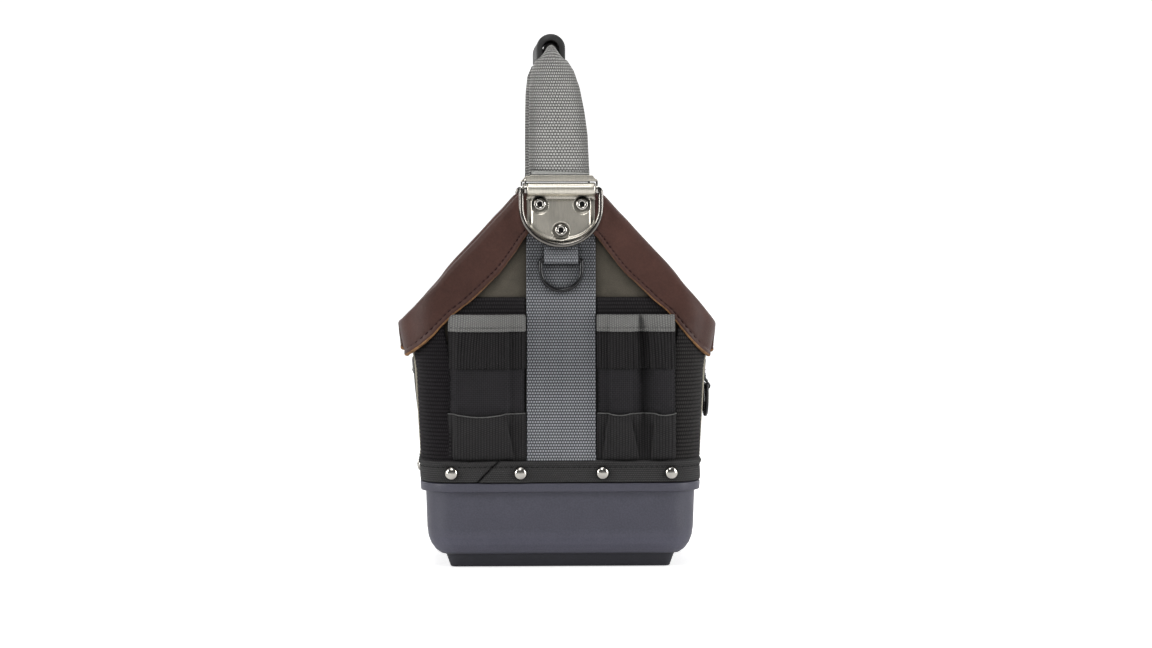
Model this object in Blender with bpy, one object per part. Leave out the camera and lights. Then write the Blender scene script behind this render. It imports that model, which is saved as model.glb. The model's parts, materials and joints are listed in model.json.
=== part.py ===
# Electrician tool pouch: a moulded base tray with a riveted fabric shell, two gabled
# panels bound in leather, outside and inside pockets, two steel hinge plates with
# D-rings, and a webbing carry handle with a rubber grip.
# Run with: blender --background --python part.py
#
# Frame: origin at the centre of the base's underside, +Z up, front face towards -Y,
# +X to the right of somebody looking at the front. Dimensions below are in mm.
#
# Most layers are laid out on the shell's outline by three numbers: "along", the distance
# round the outline; "offset", the distance outside it; and the height z.

import bpy
import bmesh
import math
from mathutils import Vector

MM = 0.001

# ---------------------------------------------------------------- driving dimensions
HALF_W = 100.4        # fabric shell, outer face, half width at the base
HALF_D = 72.0         # fabric shell, outer face, half depth at the base
CORNER_R = 24.0       # plan corner radius of that face
CORNER_STEPS = 6
PANEL_T = 3.5         # stiffened fabric panel thickness
GAP = 0.3             # running gap between separate layers

BAND_Z = (62.6, 80.0)         # webbing band round the foot of the shell
BAND_T = 4.0
SHELL_FOOT_Z = 62.8           # lower edge of the fabric panels
LAYER_FOOT_Z = 80.8           # lower edge of the webbing and pockets above the band

PEAK_Z = 272.0                # flat top of the gable
PEAK_HALF = 28.6              # half length of that flat
PEAK_INNER_STATION = 16.0     # station part way along the flat
GABLE_SLOPE = 1.274           # fall of the gable edge per mm of half width

LEAN_START_Z = 75.0
LEAN_PER_MM = 16.0 / 202.0    # front and back panels lean inwards above that
WIDEN_RISE = 85.0             # height over which the sides widen
WIDEN_PER_MM = 3.6 / WIDEN_RISE
WIDEN_START_X = 40.0          # the widening fades in from here to the corner
FLARE = 6.0                   # the sides also flare at the mouth
FLARE_Z = (145.0, 190.0)

HINGE_Z = 278.0               # hinge pin height
HINGE_OUT = 8.4               # pin centre in front of the panel face
HINGE_RIVETS = ((-15.5, 266.5), (15.5, 266.5), (0.0, 247.6))     # x, z
PLATE_T = 1.4                 # hinge plate and backing plate
SMALL_WIRE = 1.5              # wire radius of the two small D-rings

BASE_RIVET_Z = 70.0
BASE_RIVET_ALONG = (-80.0, -30.0, 30.0, 80.0)    # from the middle of the front or back

# heights at which layers get a row of points, so that they follow the shell
LEVELS = [75, 90, 105, 120, 135, 145, 152, 160, 168, 176, 184, 192, 205, 225, 248]
ROW_CLEAR = 1.5               # no row falls nearer than this to a layer's edge

# ---------------------------------------------------------------- derived
FRONT_FLAT = HALF_W - CORNER_R         # half of the flat front or back
SIDE_FLAT = HALF_D - CORNER_R          # half of a flat side
CORNER_LEN = CORNER_R * math.pi / 2
CORNER_END = FRONT_FLAT + CORNER_LEN
QUARTER = CORNER_END + SIDE_FLAT       # front middle to side middle
PERIMETER = 4 * QUARTER
TILT = math.atan(LEAN_PER_MM)
CORNER_STATIONS = [
    FRONT_FLAT + CORNER_LEN * k / CORNER_STEPS for k in range(CORNER_STEPS + 1)
]
FACES = (("front", -1, 0.0), ("back", 1, 2 * QUARTER))     # name, sign of y, middle along
ENDS = (("right", QUARTER), ("left", -QUARTER))            # name, middle along


# ---------------------------------------------------------------- materials
def material(name, rgb, roughness, metallic=0.0):
    mat = bpy.data.materials.new(name)
    mat.use_nodes = True
    shader = mat.node_tree.nodes["Principled BSDF"]
    shader.inputs["Base Color"].default_value = (*rgb, 1.0)
    shader.inputs["Roughness"].default_value = roughness
    shader.inputs["Metallic"].default_value = metallic
    mat.diffuse_color = (*rgb, 1.0)
    return mat


for old in list(bpy.data.objects):
    bpy.data.objects.remove(old, do_unlink=True)

PLASTIC = material("base_plastic", rgb=(0.075, 0.075, 0.09), roughness=0.5)
CANVAS = material("canvas_tan", rgb=(0.24, 0.22, 0.18), roughness=0.9)
NYLON = material("black_nylon", rgb=(0.022, 0.021, 0.023), roughness=0.85)
BLACK_WEB = material("black_webbing", rgb=(0.018, 0.017, 0.019), roughness=0.85)
GREY_WEB = material("grey_webbing", rgb=(0.145, 0.15, 0.155), roughness=0.85)
LEATHER = material("leather", rgb=(0.075, 0.036, 0.028), roughness=0.5)
STEEL = material("stainless", rgb=(0.62, 0.58, 0.52), roughness=0.25, metallic=1.0)
BLACK_WIRE = material("black_wire", rgb=(0.03, 0.028, 0.028), roughness=0.35, metallic=0.6)
RUBBER = material("grip_rubber", rgb=(0.03, 0.03, 0.03), roughness=0.55)


# ---------------------------------------------------------------- shell form
def path(along, offset):
    """Plan point outside the shell's outline, along it from the front middle towards +X."""
    along = (along + PERIMETER / 2) % PERIMETER - PERIMETER / 2
    sign_x = -1.0 if along < 0 else 1.0
    along = abs(along)
    back = along > QUARTER
    if back:
        along = 2 * QUARTER - along
    if along <= FRONT_FLAT:
        x, y = along, HALF_D + offset
    elif along <= CORNER_END:
        angle = (along - FRONT_FLAT) / CORNER_R
        x = FRONT_FLAT + (CORNER_R + offset) * math.sin(angle)
        y = SIDE_FLAT + (CORNER_R + offset) * math.cos(angle)
    else:
        x, y = HALF_W + offset, QUARTER - along
    return sign_x * x, (y if back else -y)


def smooth(t):
    t = max(0.0, min(1.0, t))
    return t * t * (3 - 2 * t)


def widen(z):
    rise = max(0.0, z - LEAN_START_Z)
    flare = smooth((z - FLARE_Z[0]) / (FLARE_Z[1] - FLARE_Z[0]))
    return WIDEN_PER_MM * min(rise, WIDEN_RISE) + FLARE * flare


def lean(z):
    return -LEAN_PER_MM * max(0.0, z - LEAN_START_Z)


def at(along, offset, z):
    """World point on the shell, with its sides widened and its front and back leaning in."""
    x, y = path(along, offset)
    share_x = smooth((abs(x) - WIDEN_START_X) / (FRONT_FLAT - WIDEN_START_X))
    share_y = min(1.0, abs(y) / SIDE_FLAT)
    return (
        x + math.copysign(widen(z) * share_x, x),
        y + math.copysign(1.0, y) * lean(z) * share_y,
        z,
    )


def gable(along):
    """Height of a gabled panel's top edge, along from that face's middle."""
    x = abs(path(along, 0.0)[0])
    return min(PEAK_Z, PEAK_Z - GABLE_SLOPE * (x - PEAK_HALF))


SIDE_TOP_Z = gable(CORNER_END)


def mirrored(stations):
    """Stations on both sides of a middle one at zero."""
    return [-along for along in reversed(stations)] + [0.0] + stations


def ring_stations():
    """Stations all round the outline: the middle of each face and the corner arcs."""
    stations = {quadrant * QUARTER for quadrant in range(4)}
    for quadrant in range(4):
        first = quadrant * QUARTER + (SIDE_FLAT if quadrant % 2 else FRONT_FLAT)
        stations |= {
            round(first + CORNER_LEN * k / CORNER_STEPS, 6) for k in range(CORNER_STEPS + 1)
        }
    return sorted(stations)


RING = ring_stations()


# ---------------------------------------------------------------- objects
def place(obj, origin, parent):
    bpy.context.scene.collection.objects.link(obj)
    obj.location = origin * MM
    if parent is not None:
        obj.parent = parent
        obj.location -= parent.location
    return obj


def make(name, solid, mat, origin=(0, 0, 0), parent=None, flat=False):
    """One named object from (points in world mm, faces), with its own origin at origin."""
    verts, faces = solid
    origin = Vector(origin)
    mesh = bpy.data.meshes.new(name)
    mesh.from_pydata([(Vector(vert) - origin) * MM for vert in verts], [], faces)
    bm = bmesh.new()
    bm.from_mesh(mesh)
    bmesh.ops.remove_doubles(bm, verts=bm.verts, dist=1e-6)
    bmesh.ops.recalc_face_normals(bm, faces=bm.faces)
    if bm.calc_volume(signed=True) < 0:
        bmesh.ops.reverse_faces(bm, faces=bm.faces)
    bm.to_mesh(mesh)
    bm.free()
    mesh.materials.append(mat)
    obj = place(bpy.data.objects.new(name, mesh), origin, parent)
    if not flat:
        mesh.shade_smooth()
        mesh.set_sharp_from_angle(angle=math.radians(35))
    return obj


def make_helper(name, solid):
    """A hidden body for a boolean modifier."""
    helper = make(name, solid, STEEL, flat=True)
    helper.hide_render = True
    helper.display_type = "WIRE"
    return helper


def axis_empty(name, point):
    empty = bpy.data.objects.new(name, None)
    empty.empty_display_size = 0.02
    return place(empty, point, None)


def cut(obj, cutter, operation="DIFFERENCE"):
    modifier = obj.modifiers.new("cut_" + cutter.name, "BOOLEAN")
    modifier.operation = operation
    modifier.solver = "EXACT"
    modifier.object = cutter


# ---------------------------------------------------------------- solids
def join_columns(heights_a, heights_b, ids_a, ids_b):
    """Triangles that join two columns of points whose heights may differ."""
    faces, i, j = [], 0, 0
    last_i, last_j = len(heights_a) - 1, len(heights_b) - 1
    while i < last_i or j < last_j:
        if i < last_i and j < last_j and abs(heights_a[i + 1] - heights_b[j + 1]) < 1e-6:
            faces.append((ids_a[i], ids_b[j], ids_b[j + 1]))
            faces.append((ids_a[i], ids_b[j + 1], ids_a[i + 1]))
            i, j = i + 1, j + 1
        elif j == last_j or (i < last_i and heights_a[i + 1] < heights_b[j + 1]):
            faces.append((ids_a[i], ids_b[j], ids_a[i + 1]))
            i += 1
        else:
            faces.append((ids_a[i], ids_b[j], ids_b[j + 1]))
            j += 1
    return faces


def sheet(columns, face, thickness, middle=0.0, levels=LEVELS, ring=False):
    """A layer on the shell. columns holds (along from middle, foot z, top z).

    face(along, z) is the offset of the layer's inner face.
    """
    verts, faces, heights, outer, inner = [], [], [], [], []
    for along, foot, top in columns:
        rows = [z for z in levels if foot + ROW_CLEAR < z < top - ROW_CLEAR]
        heights.append([foot] + rows + [top])
        first = len(verts)
        for z in heights[-1]:
            offset = face(along, z)
            verts.append(at(middle + along, offset + thickness, z))
            verts.append(at(middle + along, offset, z))
        outer.append(range(first, len(verts), 2))
        inner.append(range(first + 1, len(verts), 2))
    count = len(columns)
    for a in range(count if ring else count - 1):
        b = (a + 1) % count
        faces += join_columns(heights[a], heights[b], outer[a], outer[b])
        back = join_columns(heights[a], heights[b], inner[a], inner[b])
        faces += [ids[::-1] for ids in back]
        faces.append((outer[a][-1], outer[b][-1], inner[b][-1], inner[a][-1]))
        faces.append((outer[b][0], outer[a][0], inner[a][0], inner[b][0]))
    if not ring:
        for k, turn in ((0, 1), (count - 1, -1)):
            for r in range(len(heights[k]) - 1):
                ids = (inner[k][r], outer[k][r], outer[k][r + 1], inner[k][r + 1])
                faces.append(ids[::turn])
    return verts, faces


def level(offset):
    """The face of a layer that lies at one offset everywhere."""
    return lambda along, z: offset


def sweep(sections):
    """Joins equal loops of points into one body with capped ends."""
    verts = [point for loop in sections for point in loop]
    size, count = len(sections[0]), len(sections)
    faces = []
    for k in range(count - 1):
        a, b = k * size, (k + 1) * size
        for i in range(size):
            j = (i + 1) % size
            faces.append((a + i, a + j, b + j, b + i))
    faces.append(tuple(range(size))[::-1])
    faces.append(tuple(range((count - 1) * size, count * size)))
    return verts, faces


def turned(profile, origin, axis, steps=14):
    """A solid of revolution. profile holds (radius, height along axis), both ends on the axis."""
    axis = Vector(axis).normalized()
    side_a = axis.orthogonal().normalized()
    side_b = axis.cross(side_a)
    origin = Vector(origin)
    verts, faces, rings = [], [], []
    for radius, height in profile:
        first = len(verts)
        if radius < 1e-6:
            verts.append(origin + axis * height)
        else:
            for k in range(steps):
                angle = 2 * math.pi * k / steps
                spoke = side_a * math.cos(angle) + side_b * math.sin(angle)
                verts.append(origin + axis * height + spoke * radius)
        rings.append(range(first, len(verts)))
    for a, b in zip(rings, rings[1:]):
        for k in range(steps):
            j = (k + 1) % steps
            if len(a) == 1:
                faces.append((a[0], b[k], b[j]))
            elif len(b) == 1:
                faces.append((a[k], a[j], b[0]))
            else:
                faces.append((a[k], a[j], b[j], b[k]))
    return verts, faces


def drill(name, holes, radius, reach, steps=12):
    """A hidden cutter made of rods, each given by (centre, direction)."""
    profile = [(0, -reach), (radius, -reach), (radius, reach), (0, reach)]
    verts, faces = [], []
    for centre, direction in holes:
        rod_verts, rod_faces = turned(profile, centre, direction, steps)
        faces += [tuple(i + len(verts) for i in ids) for ids in rod_faces]
        verts += rod_verts
    return make_helper(name, (verts, faces))


def local_frame(origin, up, out, across=Vector((1, 0, 0))):
    """Maps (x across, rise, outward distance) from origin to a world point."""
    return lambda x, rise, outward: origin + across * x + up * rise + out * outward


def bar(frame, section, ends):
    """A (rise, outward) section drawn out across, between two ends."""
    return sweep([[frame(x, rise, outward) for rise, outward in section] for x in ends])


def slab(frame, outline, faces):
    """An (x, rise) outline drawn out along the outward axis, between two faces."""
    return sweep([[frame(x, rise, outward) for x, rise in outline] for outward in faces])


def curl(outer_radius, inner_radius, turn, steps):
    """(rise, outward) points of rolled material, out round a pin and back inside."""
    angles = [math.radians(180.0 + turn * k / steps) for k in range(steps + 1)]
    outer = [(outer_radius * math.sin(a), outer_radius * math.cos(a)) for a in angles]
    inner = [(inner_radius * math.sin(a), inner_radius * math.cos(a)) for a in angles]
    return outer + inner[::-1]


def d_ring(name, frame_axes, centre, half, drop, wire, corner, mat, parent):
    """A closed D-ring of round wire, its straight bar through centre.

    frame_axes are the directions of the bar and of the drop.
    """
    bar_axis, drop_axis = frame_axes
    bow_start = 0.32 * drop
    corner_angles = [math.pi / 2 * k / 3 for k in range(4)]
    bend = [
        (half - corner + corner * math.sin(a), corner - corner * math.cos(a))
        for a in corner_angles
    ]
    bow = [
        (half * math.cos(math.pi * k / 16),
         bow_start + (drop - bow_start) * math.sin(math.pi * k / 16))
        for k in range(17)
    ]
    points = bend + bow + [(-x, fall) for x, fall in reversed(bend)]
    curve = bpy.data.curves.new(name, "CURVE")
    curve.dimensions = "3D"
    curve.bevel_depth = wire * MM
    curve.bevel_resolution = 1
    curve.twist_mode = "MINIMUM"
    spline = curve.splines.new("POLY")
    spline.points.add(len(points) - 1)
    for i, (x, fall) in enumerate(points):
        spline.points[i].co = (*((bar_axis * x + drop_axis * fall) * MM), 1.0)
    spline.use_cyclic_u = True
    curve.materials.append(mat)
    place(bpy.data.objects.new(name, curve), centre, parent)


# ---------------------------------------------------------------- rivet stations and cutters
def base_rivet_stations():
    stations = {}
    for side, _, middle in FACES:
        for k, along in enumerate(BASE_RIVET_ALONG, 1):
            stations[f"{side}_base_rivet_{k}"] = middle + along
    for side, middle in ENDS:
        stations[f"{side}_base_rivet"] = middle
    return stations


def base_rivet_axis(along):
    """A base rivet's point on the shell face, and the outward normal there."""
    x, y = path(along, 0.0)
    out_x, out_y = path(along, 1.0)
    return Vector((x, y, BASE_RIVET_Z)), Vector((out_x - x, out_y - y, 0.0))


def facing(sign):
    """Axes of a gable's hardware: pin point, up the panel, and out of it."""
    pin = Vector((0.0, sign * (HALF_D + lean(HINGE_Z) + HINGE_OUT), HINGE_Z))
    up = Vector((0.0, -sign * math.sin(TILT), math.cos(TILT)))
    out = Vector((0.0, sign * math.cos(TILT), math.sin(TILT)))
    return pin, up, out


def gable_point(sign, x, z):
    """A point on the outer face of the front or back panel."""
    return Vector((x, sign * (HALF_D + lean(z)), z))


BASE_RIVETS = base_rivet_stations()
BASE_CUTTER = drill(
    "cutter_base_rivets",
    [base_rivet_axis(along) for along in BASE_RIVETS.values()],
    radius=2.3,
    reach=14.0,
)
HINGE_CUTTERS = {
    side: drill(
        f"cutter_{side}_hinge_rivets",
        [(gable_point(sign, x, z), facing(sign)[2]) for x, z in HINGE_RIVETS],
        radius=2.8,
        reach=16.0,
    )
    for side, sign, _ in FACES
}

# ---------------------------------------------------------------- base tray and band
# offset, z: up the outside from the underside, over the rim, down inside to the floor
TRAY_PROFILE = [
    (-19.5, 0.0), (-18.4, 1.6), (-15.8, 8.8), (-14.4, 10.0), (-9.0, 13.2),
    (-5.0, 17.6), (-3.0, 23.0), (-2.2, 30.0), (-1.4, 55.6), (2.4, 56.4),
    (2.8, 58.0), (2.8, 62.2), (-3.8, 62.2), (-3.8, 77.0), (-6.5, 77.0),
    (-6.5, 61.0), (-4.4, 54.0), (-5.2, 30.0), (-8.0, 20.0), (-13.5, 14.0),
    (-18.0, 11.0), (-20.5, 4.0),
]


def build_tray():
    loops = [[(*path(along, offset), z) for along in RING] for offset, z in TRAY_PROFILE]
    cut(make("base_tray", sweep(loops), PLASTIC), BASE_CUTTER)


def build_band():
    solid = sheet([(along, *BAND_Z) for along in RING], level(GAP), BAND_T, ring=True)
    cut(make("base_band", solid, BLACK_WEB), BASE_CUTTER)


# ---------------------------------------------------------------- shell panels
SLOPE_STATIONS = [PEAK_HALF, 44.0, 60.0] + CORNER_STATIONS


def build_panels():
    for side, _, middle in FACES:
        columns = [(along, SHELL_FOOT_Z, gable(along)) for along in mirrored(SLOPE_STATIONS)]
        solid = sheet(columns, level(-PANEL_T), PANEL_T, middle)
        panel = make(f"{side}_panel", solid, CANVAS)
        cut(panel, BASE_CUTTER)
        cut(panel, HINGE_CUTTERS[side])
    for side, middle in ENDS:
        columns = [(along, SHELL_FOOT_Z, SIDE_TOP_Z) for along in mirrored([SIDE_FLAT - GAP])]
        solid = sheet(columns, level(-PANEL_T), PANEL_T, middle)
        cut(make(f"{side}_side_panel", solid, CANVAS), BASE_CUTTER)


# ---------------------------------------------------------------- leather trims
TRIM_DEPTH = 21.0             # leather cover on the outer face
TRIM_DEPTH_IN = 18.0          # leather cover on the inner face
TRIM_T = 2.4
TRIM_GAP = 0.9                # clearance round the leather
TRIM_ROWS = (0.68, 0.36)      # rows of points in each leaf, as shares of its depth


def trim_section():
    """(depth below the panel's edge, offset) points of leather folded over the edge."""
    out_near, out_far = TRIM_GAP, TRIM_GAP + TRIM_T
    in_near, in_far = -PANEL_T - TRIM_GAP, -PANEL_T - TRIM_GAP - TRIM_T
    low, high = TRIM_ROWS
    return [
        (TRIM_DEPTH, out_near), (TRIM_DEPTH, out_far),
        (TRIM_DEPTH * low, out_far), (TRIM_DEPTH * high, out_far), (0.6, out_far),
        (-2.0, out_far - 0.9), (-3.0, 0.0), (-3.0, -PANEL_T), (-2.0, in_far + 0.9),
        (0.6, in_far), (TRIM_DEPTH_IN * high, in_far), (TRIM_DEPTH_IN * low, in_far),
        (TRIM_DEPTH_IN, in_far), (TRIM_DEPTH_IN, in_near),
        (TRIM_DEPTH_IN * low, in_near), (TRIM_DEPTH_IN * high, in_near), (-0.6, in_near),
        (-0.6, out_near), (TRIM_DEPTH * high, out_near), (TRIM_DEPTH * low, out_near),
    ]


def inward(points):
    """Mitred normals of an edge line of (along, z) points, pointing down into the panel."""
    normals = []
    for a, b in zip(points, points[1:]):
        run = Vector((b[0] - a[0], b[1] - a[1])).normalized()
        normals.append(Vector((run.y, -run.x)))
    mitred = [(a + b) / (1 + a.dot(b)) for a, b in zip(normals, normals[1:])]
    return [normals[0]] + mitred + [normals[-1]]


def trim(points, middle):
    section = trim_section()
    loops = []
    for (along, z), normal in zip(points, inward(points)):
        loops.append([
            at(middle + along + normal.x * depth, offset, z + normal.y * depth)
            for depth, offset in section
        ])
    return sweep(loops)


GABLE_EDGE = [
    (along, gable(along)) for along in mirrored([PEAK_INNER_STATION] + SLOPE_STATIONS)
]
TRIM_LOW_EDGE = [
    (along + normal.x * TRIM_DEPTH, z + normal.y * TRIM_DEPTH)
    for (along, z), normal in zip(GABLE_EDGE, inward(GABLE_EDGE))
]


def under_trim(along):
    """Height just clear of the leather's lower edge on the outer face."""
    for (a, z_a), (b, z_b) in zip(TRIM_LOW_EDGE, TRIM_LOW_EDGE[1:]):
        if a <= along <= b:
            return z_a + (z_b - z_a) * (along - a) / (b - a) - TRIM_GAP
    return TRIM_LOW_EDGE[-1][1] - TRIM_GAP


def build_trims():
    for side, _, middle in FACES:
        leather = make(f"{side}_leather_trim", trim(GABLE_EDGE, middle), LEATHER)
        cut(leather, HINGE_CUTTERS[side])
    for side, middle in ENDS:
        stations = mirrored([SIDE_FLAT / 2, SIDE_FLAT - TRIM_GAP])
        edge = [(along, SIDE_TOP_Z) for along in stations]
        make(f"{side}_leather_trim", trim(edge, middle), LEATHER)


# ---------------------------------------------------------------- webbing
WEB_HALF = 25.4               # 2 inch centre webbing
WEB_T = 2.0
EDGE_GAP = 0.6                # between the side edges of pockets and webbing
POCKET_IN, POCKET_OUT = WEB_HALF + EDGE_GAP, 82.6
# the corner webbing's stations, from beside the pocket to the end of the corner
CORNER_WEB = [POCKET_OUT + EDGE_GAP] + CORNER_STATIONS[2:-1] + [CORNER_END - 0.8]


def build_webbing():
    for side, sign, middle in FACES:
        columns = [
            (along, LAYER_FOOT_Z, under_trim(along))
            for along in mirrored([PEAK_INNER_STATION, WEB_HALF])
        ]
        centre = make(
            f"{side}_centre_webbing", sheet(columns, level(GAP), WEB_T, middle), GREY_WEB
        )
        cut(centre, HINGE_CUTTERS[side])
        # "along" runs towards +X on the front and towards -X on the back
        for tag, turn in (("left", sign), ("right", -sign)):
            columns = sorted(
                (turn * along, LAYER_FOOT_Z, under_trim(along)) for along in CORNER_WEB
            )
            solid = sheet(columns, level(GAP), WEB_T, middle)
            make(f"{side}_{tag}_corner_webbing", solid, BLACK_WEB)


# ---------------------------------------------------------------- outside pockets
POCKET_TOP_Z = 185.0
POCKET_SPLIT = 60.0           # stitch line that divides the right-hand pocket
POCKET_T = 1.4
POCKET_ROWS = [95.0, 105.0, 114.0, 147.0, 174.5, 180.0]
# z, bulge of a pocket whose full bulge is the last one
BELLOWS = [(LAYER_FOOT_Z, 0.0), (95.0, 5.0), (105.0, 6.6), (114.0, 7.6), (185.0, 10.0)]
FRONT_BULGE = BELLOWS[-1][1]
BACK_BULGE = 7.0

OVER_POCKET = 1.8             # from a pocket's inner face to the layer sewn over it
OVERLAY_T = 1.2
LOWER_TOP_Z = 114.0
LOWER_ROWS = [95.0, 105.0]
LOWER_BULGE = 2.0             # extra bulge of the lower pocket, reached over this rise:
LOWER_BULGE_RISE = 33.0
BINDING_Z = (174.5, 186.5)
BINDING_ROWS = [180.0]

SIDE_POCKET_HALF = 38.0
SIDE_POCKET_TOP_Z = 152.0
SIDE_POCKET_BULGE = 3.0
SIDE_POCKET_T = 1.5


def ramp(z, table):
    """Interpolates a table of (z, value), held level beyond its ends."""
    for (z_a, a), (z_b, b) in zip(table, table[1:]):
        if z <= z_b:
            return a + (b - a) * max(0.0, z - z_a) / (z_b - z_a)
    return table[-1][1]


def swell(along, lobes):
    """Share of the full bulge: 0 at the ends of each lobe, 1 at its middle."""
    for a, b in lobes:
        if a - 1e-6 <= along <= b + 1e-6:
            share = (along - a) / (b - a)
            return math.sin(math.pi * share) ** 0.6 if 0 < share < 1 else 0.0
    return 0.0


def lobe_stations(lobes, parts=6):
    """Even stations across the lobes; rounding merges the ends that lobes share."""
    return sorted({
        round(a + (b - a) * k / parts, 4) for a, b in lobes for k in range(parts + 1)
    })


def pocket_face(lobes, bulge):
    return lambda along, z: (
        GAP + bulge * swell(along, lobes) * ramp(z, BELLOWS) / BELLOWS[-1][1]
    )


def pocket(name, lobes, middle, bulge):
    columns = [
        (along, LAYER_FOOT_Z, min(POCKET_TOP_Z, under_trim(along)))
        for along in lobe_stations(lobes)
    ]
    face = pocket_face(lobes, bulge)
    make(name, sheet(columns, face, POCKET_T, middle, POCKET_ROWS), NYLON)


def pocket_overlays(side, lobes, middle):
    """The lower pocket sewn over a front pocket, and the binding along its mouth."""
    face = pocket_face(lobes, FRONT_BULGE)
    stations = lobe_stations(lobes)

    def lower_face(along, z):
        extra = LOWER_BULGE * swell(along, lobes) * (z - LAYER_FOOT_Z) / LOWER_BULGE_RISE
        return face(along, z) + OVER_POCKET + extra

    def binding_face(along, z):
        return face(along, z) + OVER_POCKET

    columns = [(along, LAYER_FOOT_Z, LOWER_TOP_Z) for along in stations]
    solid = sheet(columns, lower_face, OVERLAY_T, middle, LOWER_ROWS)
    make(f"front_{side}_lower_pocket", solid, NYLON)

    columns = [(along, *BINDING_Z) for along in stations if under_trim(along) > BINDING_Z[1]]
    solid = sheet(columns, binding_face, OVERLAY_T, middle, BINDING_ROWS)
    make(f"front_{side}_pocket_binding", solid, GREY_WEB)


def side_face(along, z):
    """Inner face of a side pocket, bulging most at its mouth."""
    share = along / SIDE_POCKET_HALF
    rise = (z - LAYER_FOOT_Z) / (SIDE_POCKET_TOP_Z - LAYER_FOOT_Z)
    return GAP + SIDE_POCKET_BULGE * (1 - share ** 4) * rise


def build_outside_pockets():
    (_, _, front), (_, _, back) = FACES
    towards_minus = (-POCKET_OUT, -POCKET_IN)
    towards_plus = (POCKET_IN, POCKET_OUT)
    divided = [(POCKET_IN, POCKET_SPLIT), (POCKET_SPLIT, POCKET_OUT)]
    for side, lobes in (("left", [towards_minus]), ("right", divided)):
        pocket(f"front_{side}_pocket", lobes, front, FRONT_BULGE)
        pocket_overlays(side, lobes, front)
    for side, lobe in (("left", towards_plus), ("right", towards_minus)):
        pocket(f"back_{side}_pocket", [lobe], back, BACK_BULGE)
    for side, middle in ENDS:
        columns = [
            (SIDE_POCKET_HALF * k / 4, LAYER_FOOT_Z, SIDE_POCKET_TOP_Z) for k in range(-4, 5)
        ]
        solid = sheet(columns, side_face, SIDE_POCKET_T, middle, [90, 105, 120, 135, 145])
        make(f"{side}_side_pocket", solid, NYLON)


# ---------------------------------------------------------------- inside pockets
INNER_LOBES = [(-72.0, -24.0), (-24.0, 24.0), (24.0, 72.0)]
INNER_TOP_Z = 160.0
INNER_BULGE = 8.0
INNER_GAP = 0.5
# z, share of the full bulge
INNER_BELLOWS = [(LAYER_FOOT_Z, 0.0), (95.0, 0.7), (INNER_TOP_Z, 1.0)]


def inner_pocket_face(along, z):
    """The face turned to the inside of the pouch."""
    bulge = INNER_BULGE * ramp(z, INNER_BELLOWS) * swell(along, INNER_LOBES)
    return -PANEL_T - INNER_GAP - bulge - POCKET_T


def build_inside_pockets():
    for side, _, middle in FACES:
        columns = [
            (along, LAYER_FOOT_Z, INNER_TOP_Z) for along in lobe_stations(INNER_LOBES, 4)
        ]
        solid = sheet(columns, inner_pocket_face, POCKET_T, middle, [95.0, 125.0])
        make(f"{side}_inner_pocket", solid, NYLON)


# ---------------------------------------------------------------- hinge hardware
BARREL_R, BARREL_RI = 4.8, 3.35
PLATE_HALF = 25.0
PLATE_DROP = 38.5             # from the pin to the lowest point of the plate
PLATE_TOOL_TOP = -6.0         # the D is trimmed from here down
PLATE_TOOL_MARGIN = 6.0       # the trimming tool reaches this far past the plate
BACKING_IN = 7.2              # backing plate's outer side, inside the panel face
RING_WIRE = 1.9               # large D-ring wire radius
RING_HALF = 29.0              # centreline half width
RING_DROP = 41.0              # centreline drop below the pin

BAIL_HALF = 26.2
BAIL_BORE_R = 2.3
# rise, outward from the pin: a channel open at the top
BAIL_CHANNEL = [
    (5.4, -2.4), (5.4, 2.4), (10.0, 2.4), (10.0, 1.4), (6.4, 1.4), (6.4, -1.4),
    (10.0, -1.4), (10.0, -2.4),
]
EAR_R = 4.0
EAR_X = (25.3, 26.7)


def d_outline(half, top, straight, drop, steps=18):
    """A flat D: straight top, straight sides, then half an ellipse. (x, rise) pairs."""
    points = [(-half, top), (-half, -straight)]
    for k in range(1, steps):
        angle = math.pi * k / steps
        points.append(
            (-half * math.cos(angle), -straight - (drop - straight) * math.sin(angle))
        )
    return points + [(half, -straight), (half, top)]


def hinge_plate(side, pin, frame):
    """Rolled plate with a flat leaf, cut to a D and drilled for three rivets."""
    leaf = [(-PLATE_DROP, -BARREL_R + PLATE_T), (-PLATE_DROP, -BARREL_R)]
    section = leaf + curl(BARREL_R, BARREL_RI, turn=-305.0, steps=14)
    solid = bar(frame, section, (-PLATE_HALF, PLATE_HALF))
    plate = make(f"{side}_hinge_plate", solid, STEEL, origin=pin)

    # trimming tool: a slab below the barrel with the D taken out of it
    half, low = PLATE_HALF + PLATE_TOOL_MARGIN, -PLATE_DROP - PLATE_TOOL_MARGIN
    outline = [(-half, PLATE_TOOL_TOP), (-half, low), (half, low), (half, PLATE_TOOL_TOP)]
    outline += d_outline(PLATE_HALF + 0.01, PLATE_TOOL_TOP, 20.0, PLATE_DROP)[::-1]
    cut(plate, make_helper(f"cutter_{side}_plate", slab(frame, outline, (-8.0, 0.5))))
    cut(plate, HINGE_CUTTERS[side])


def backing_plate(side, frame):
    """Plate inside the panel, behind the hinge plate."""
    outline = d_outline(half=21.0, top=-5.8, straight=18.0, drop=36.0, steps=10)
    outer = -HINGE_OUT - BACKING_IN
    solid = slab(frame, outline, (outer, outer - PLATE_T))
    cut(make(f"{side}_backing_plate", solid, STEEL), HINGE_CUTTERS[side])


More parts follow.
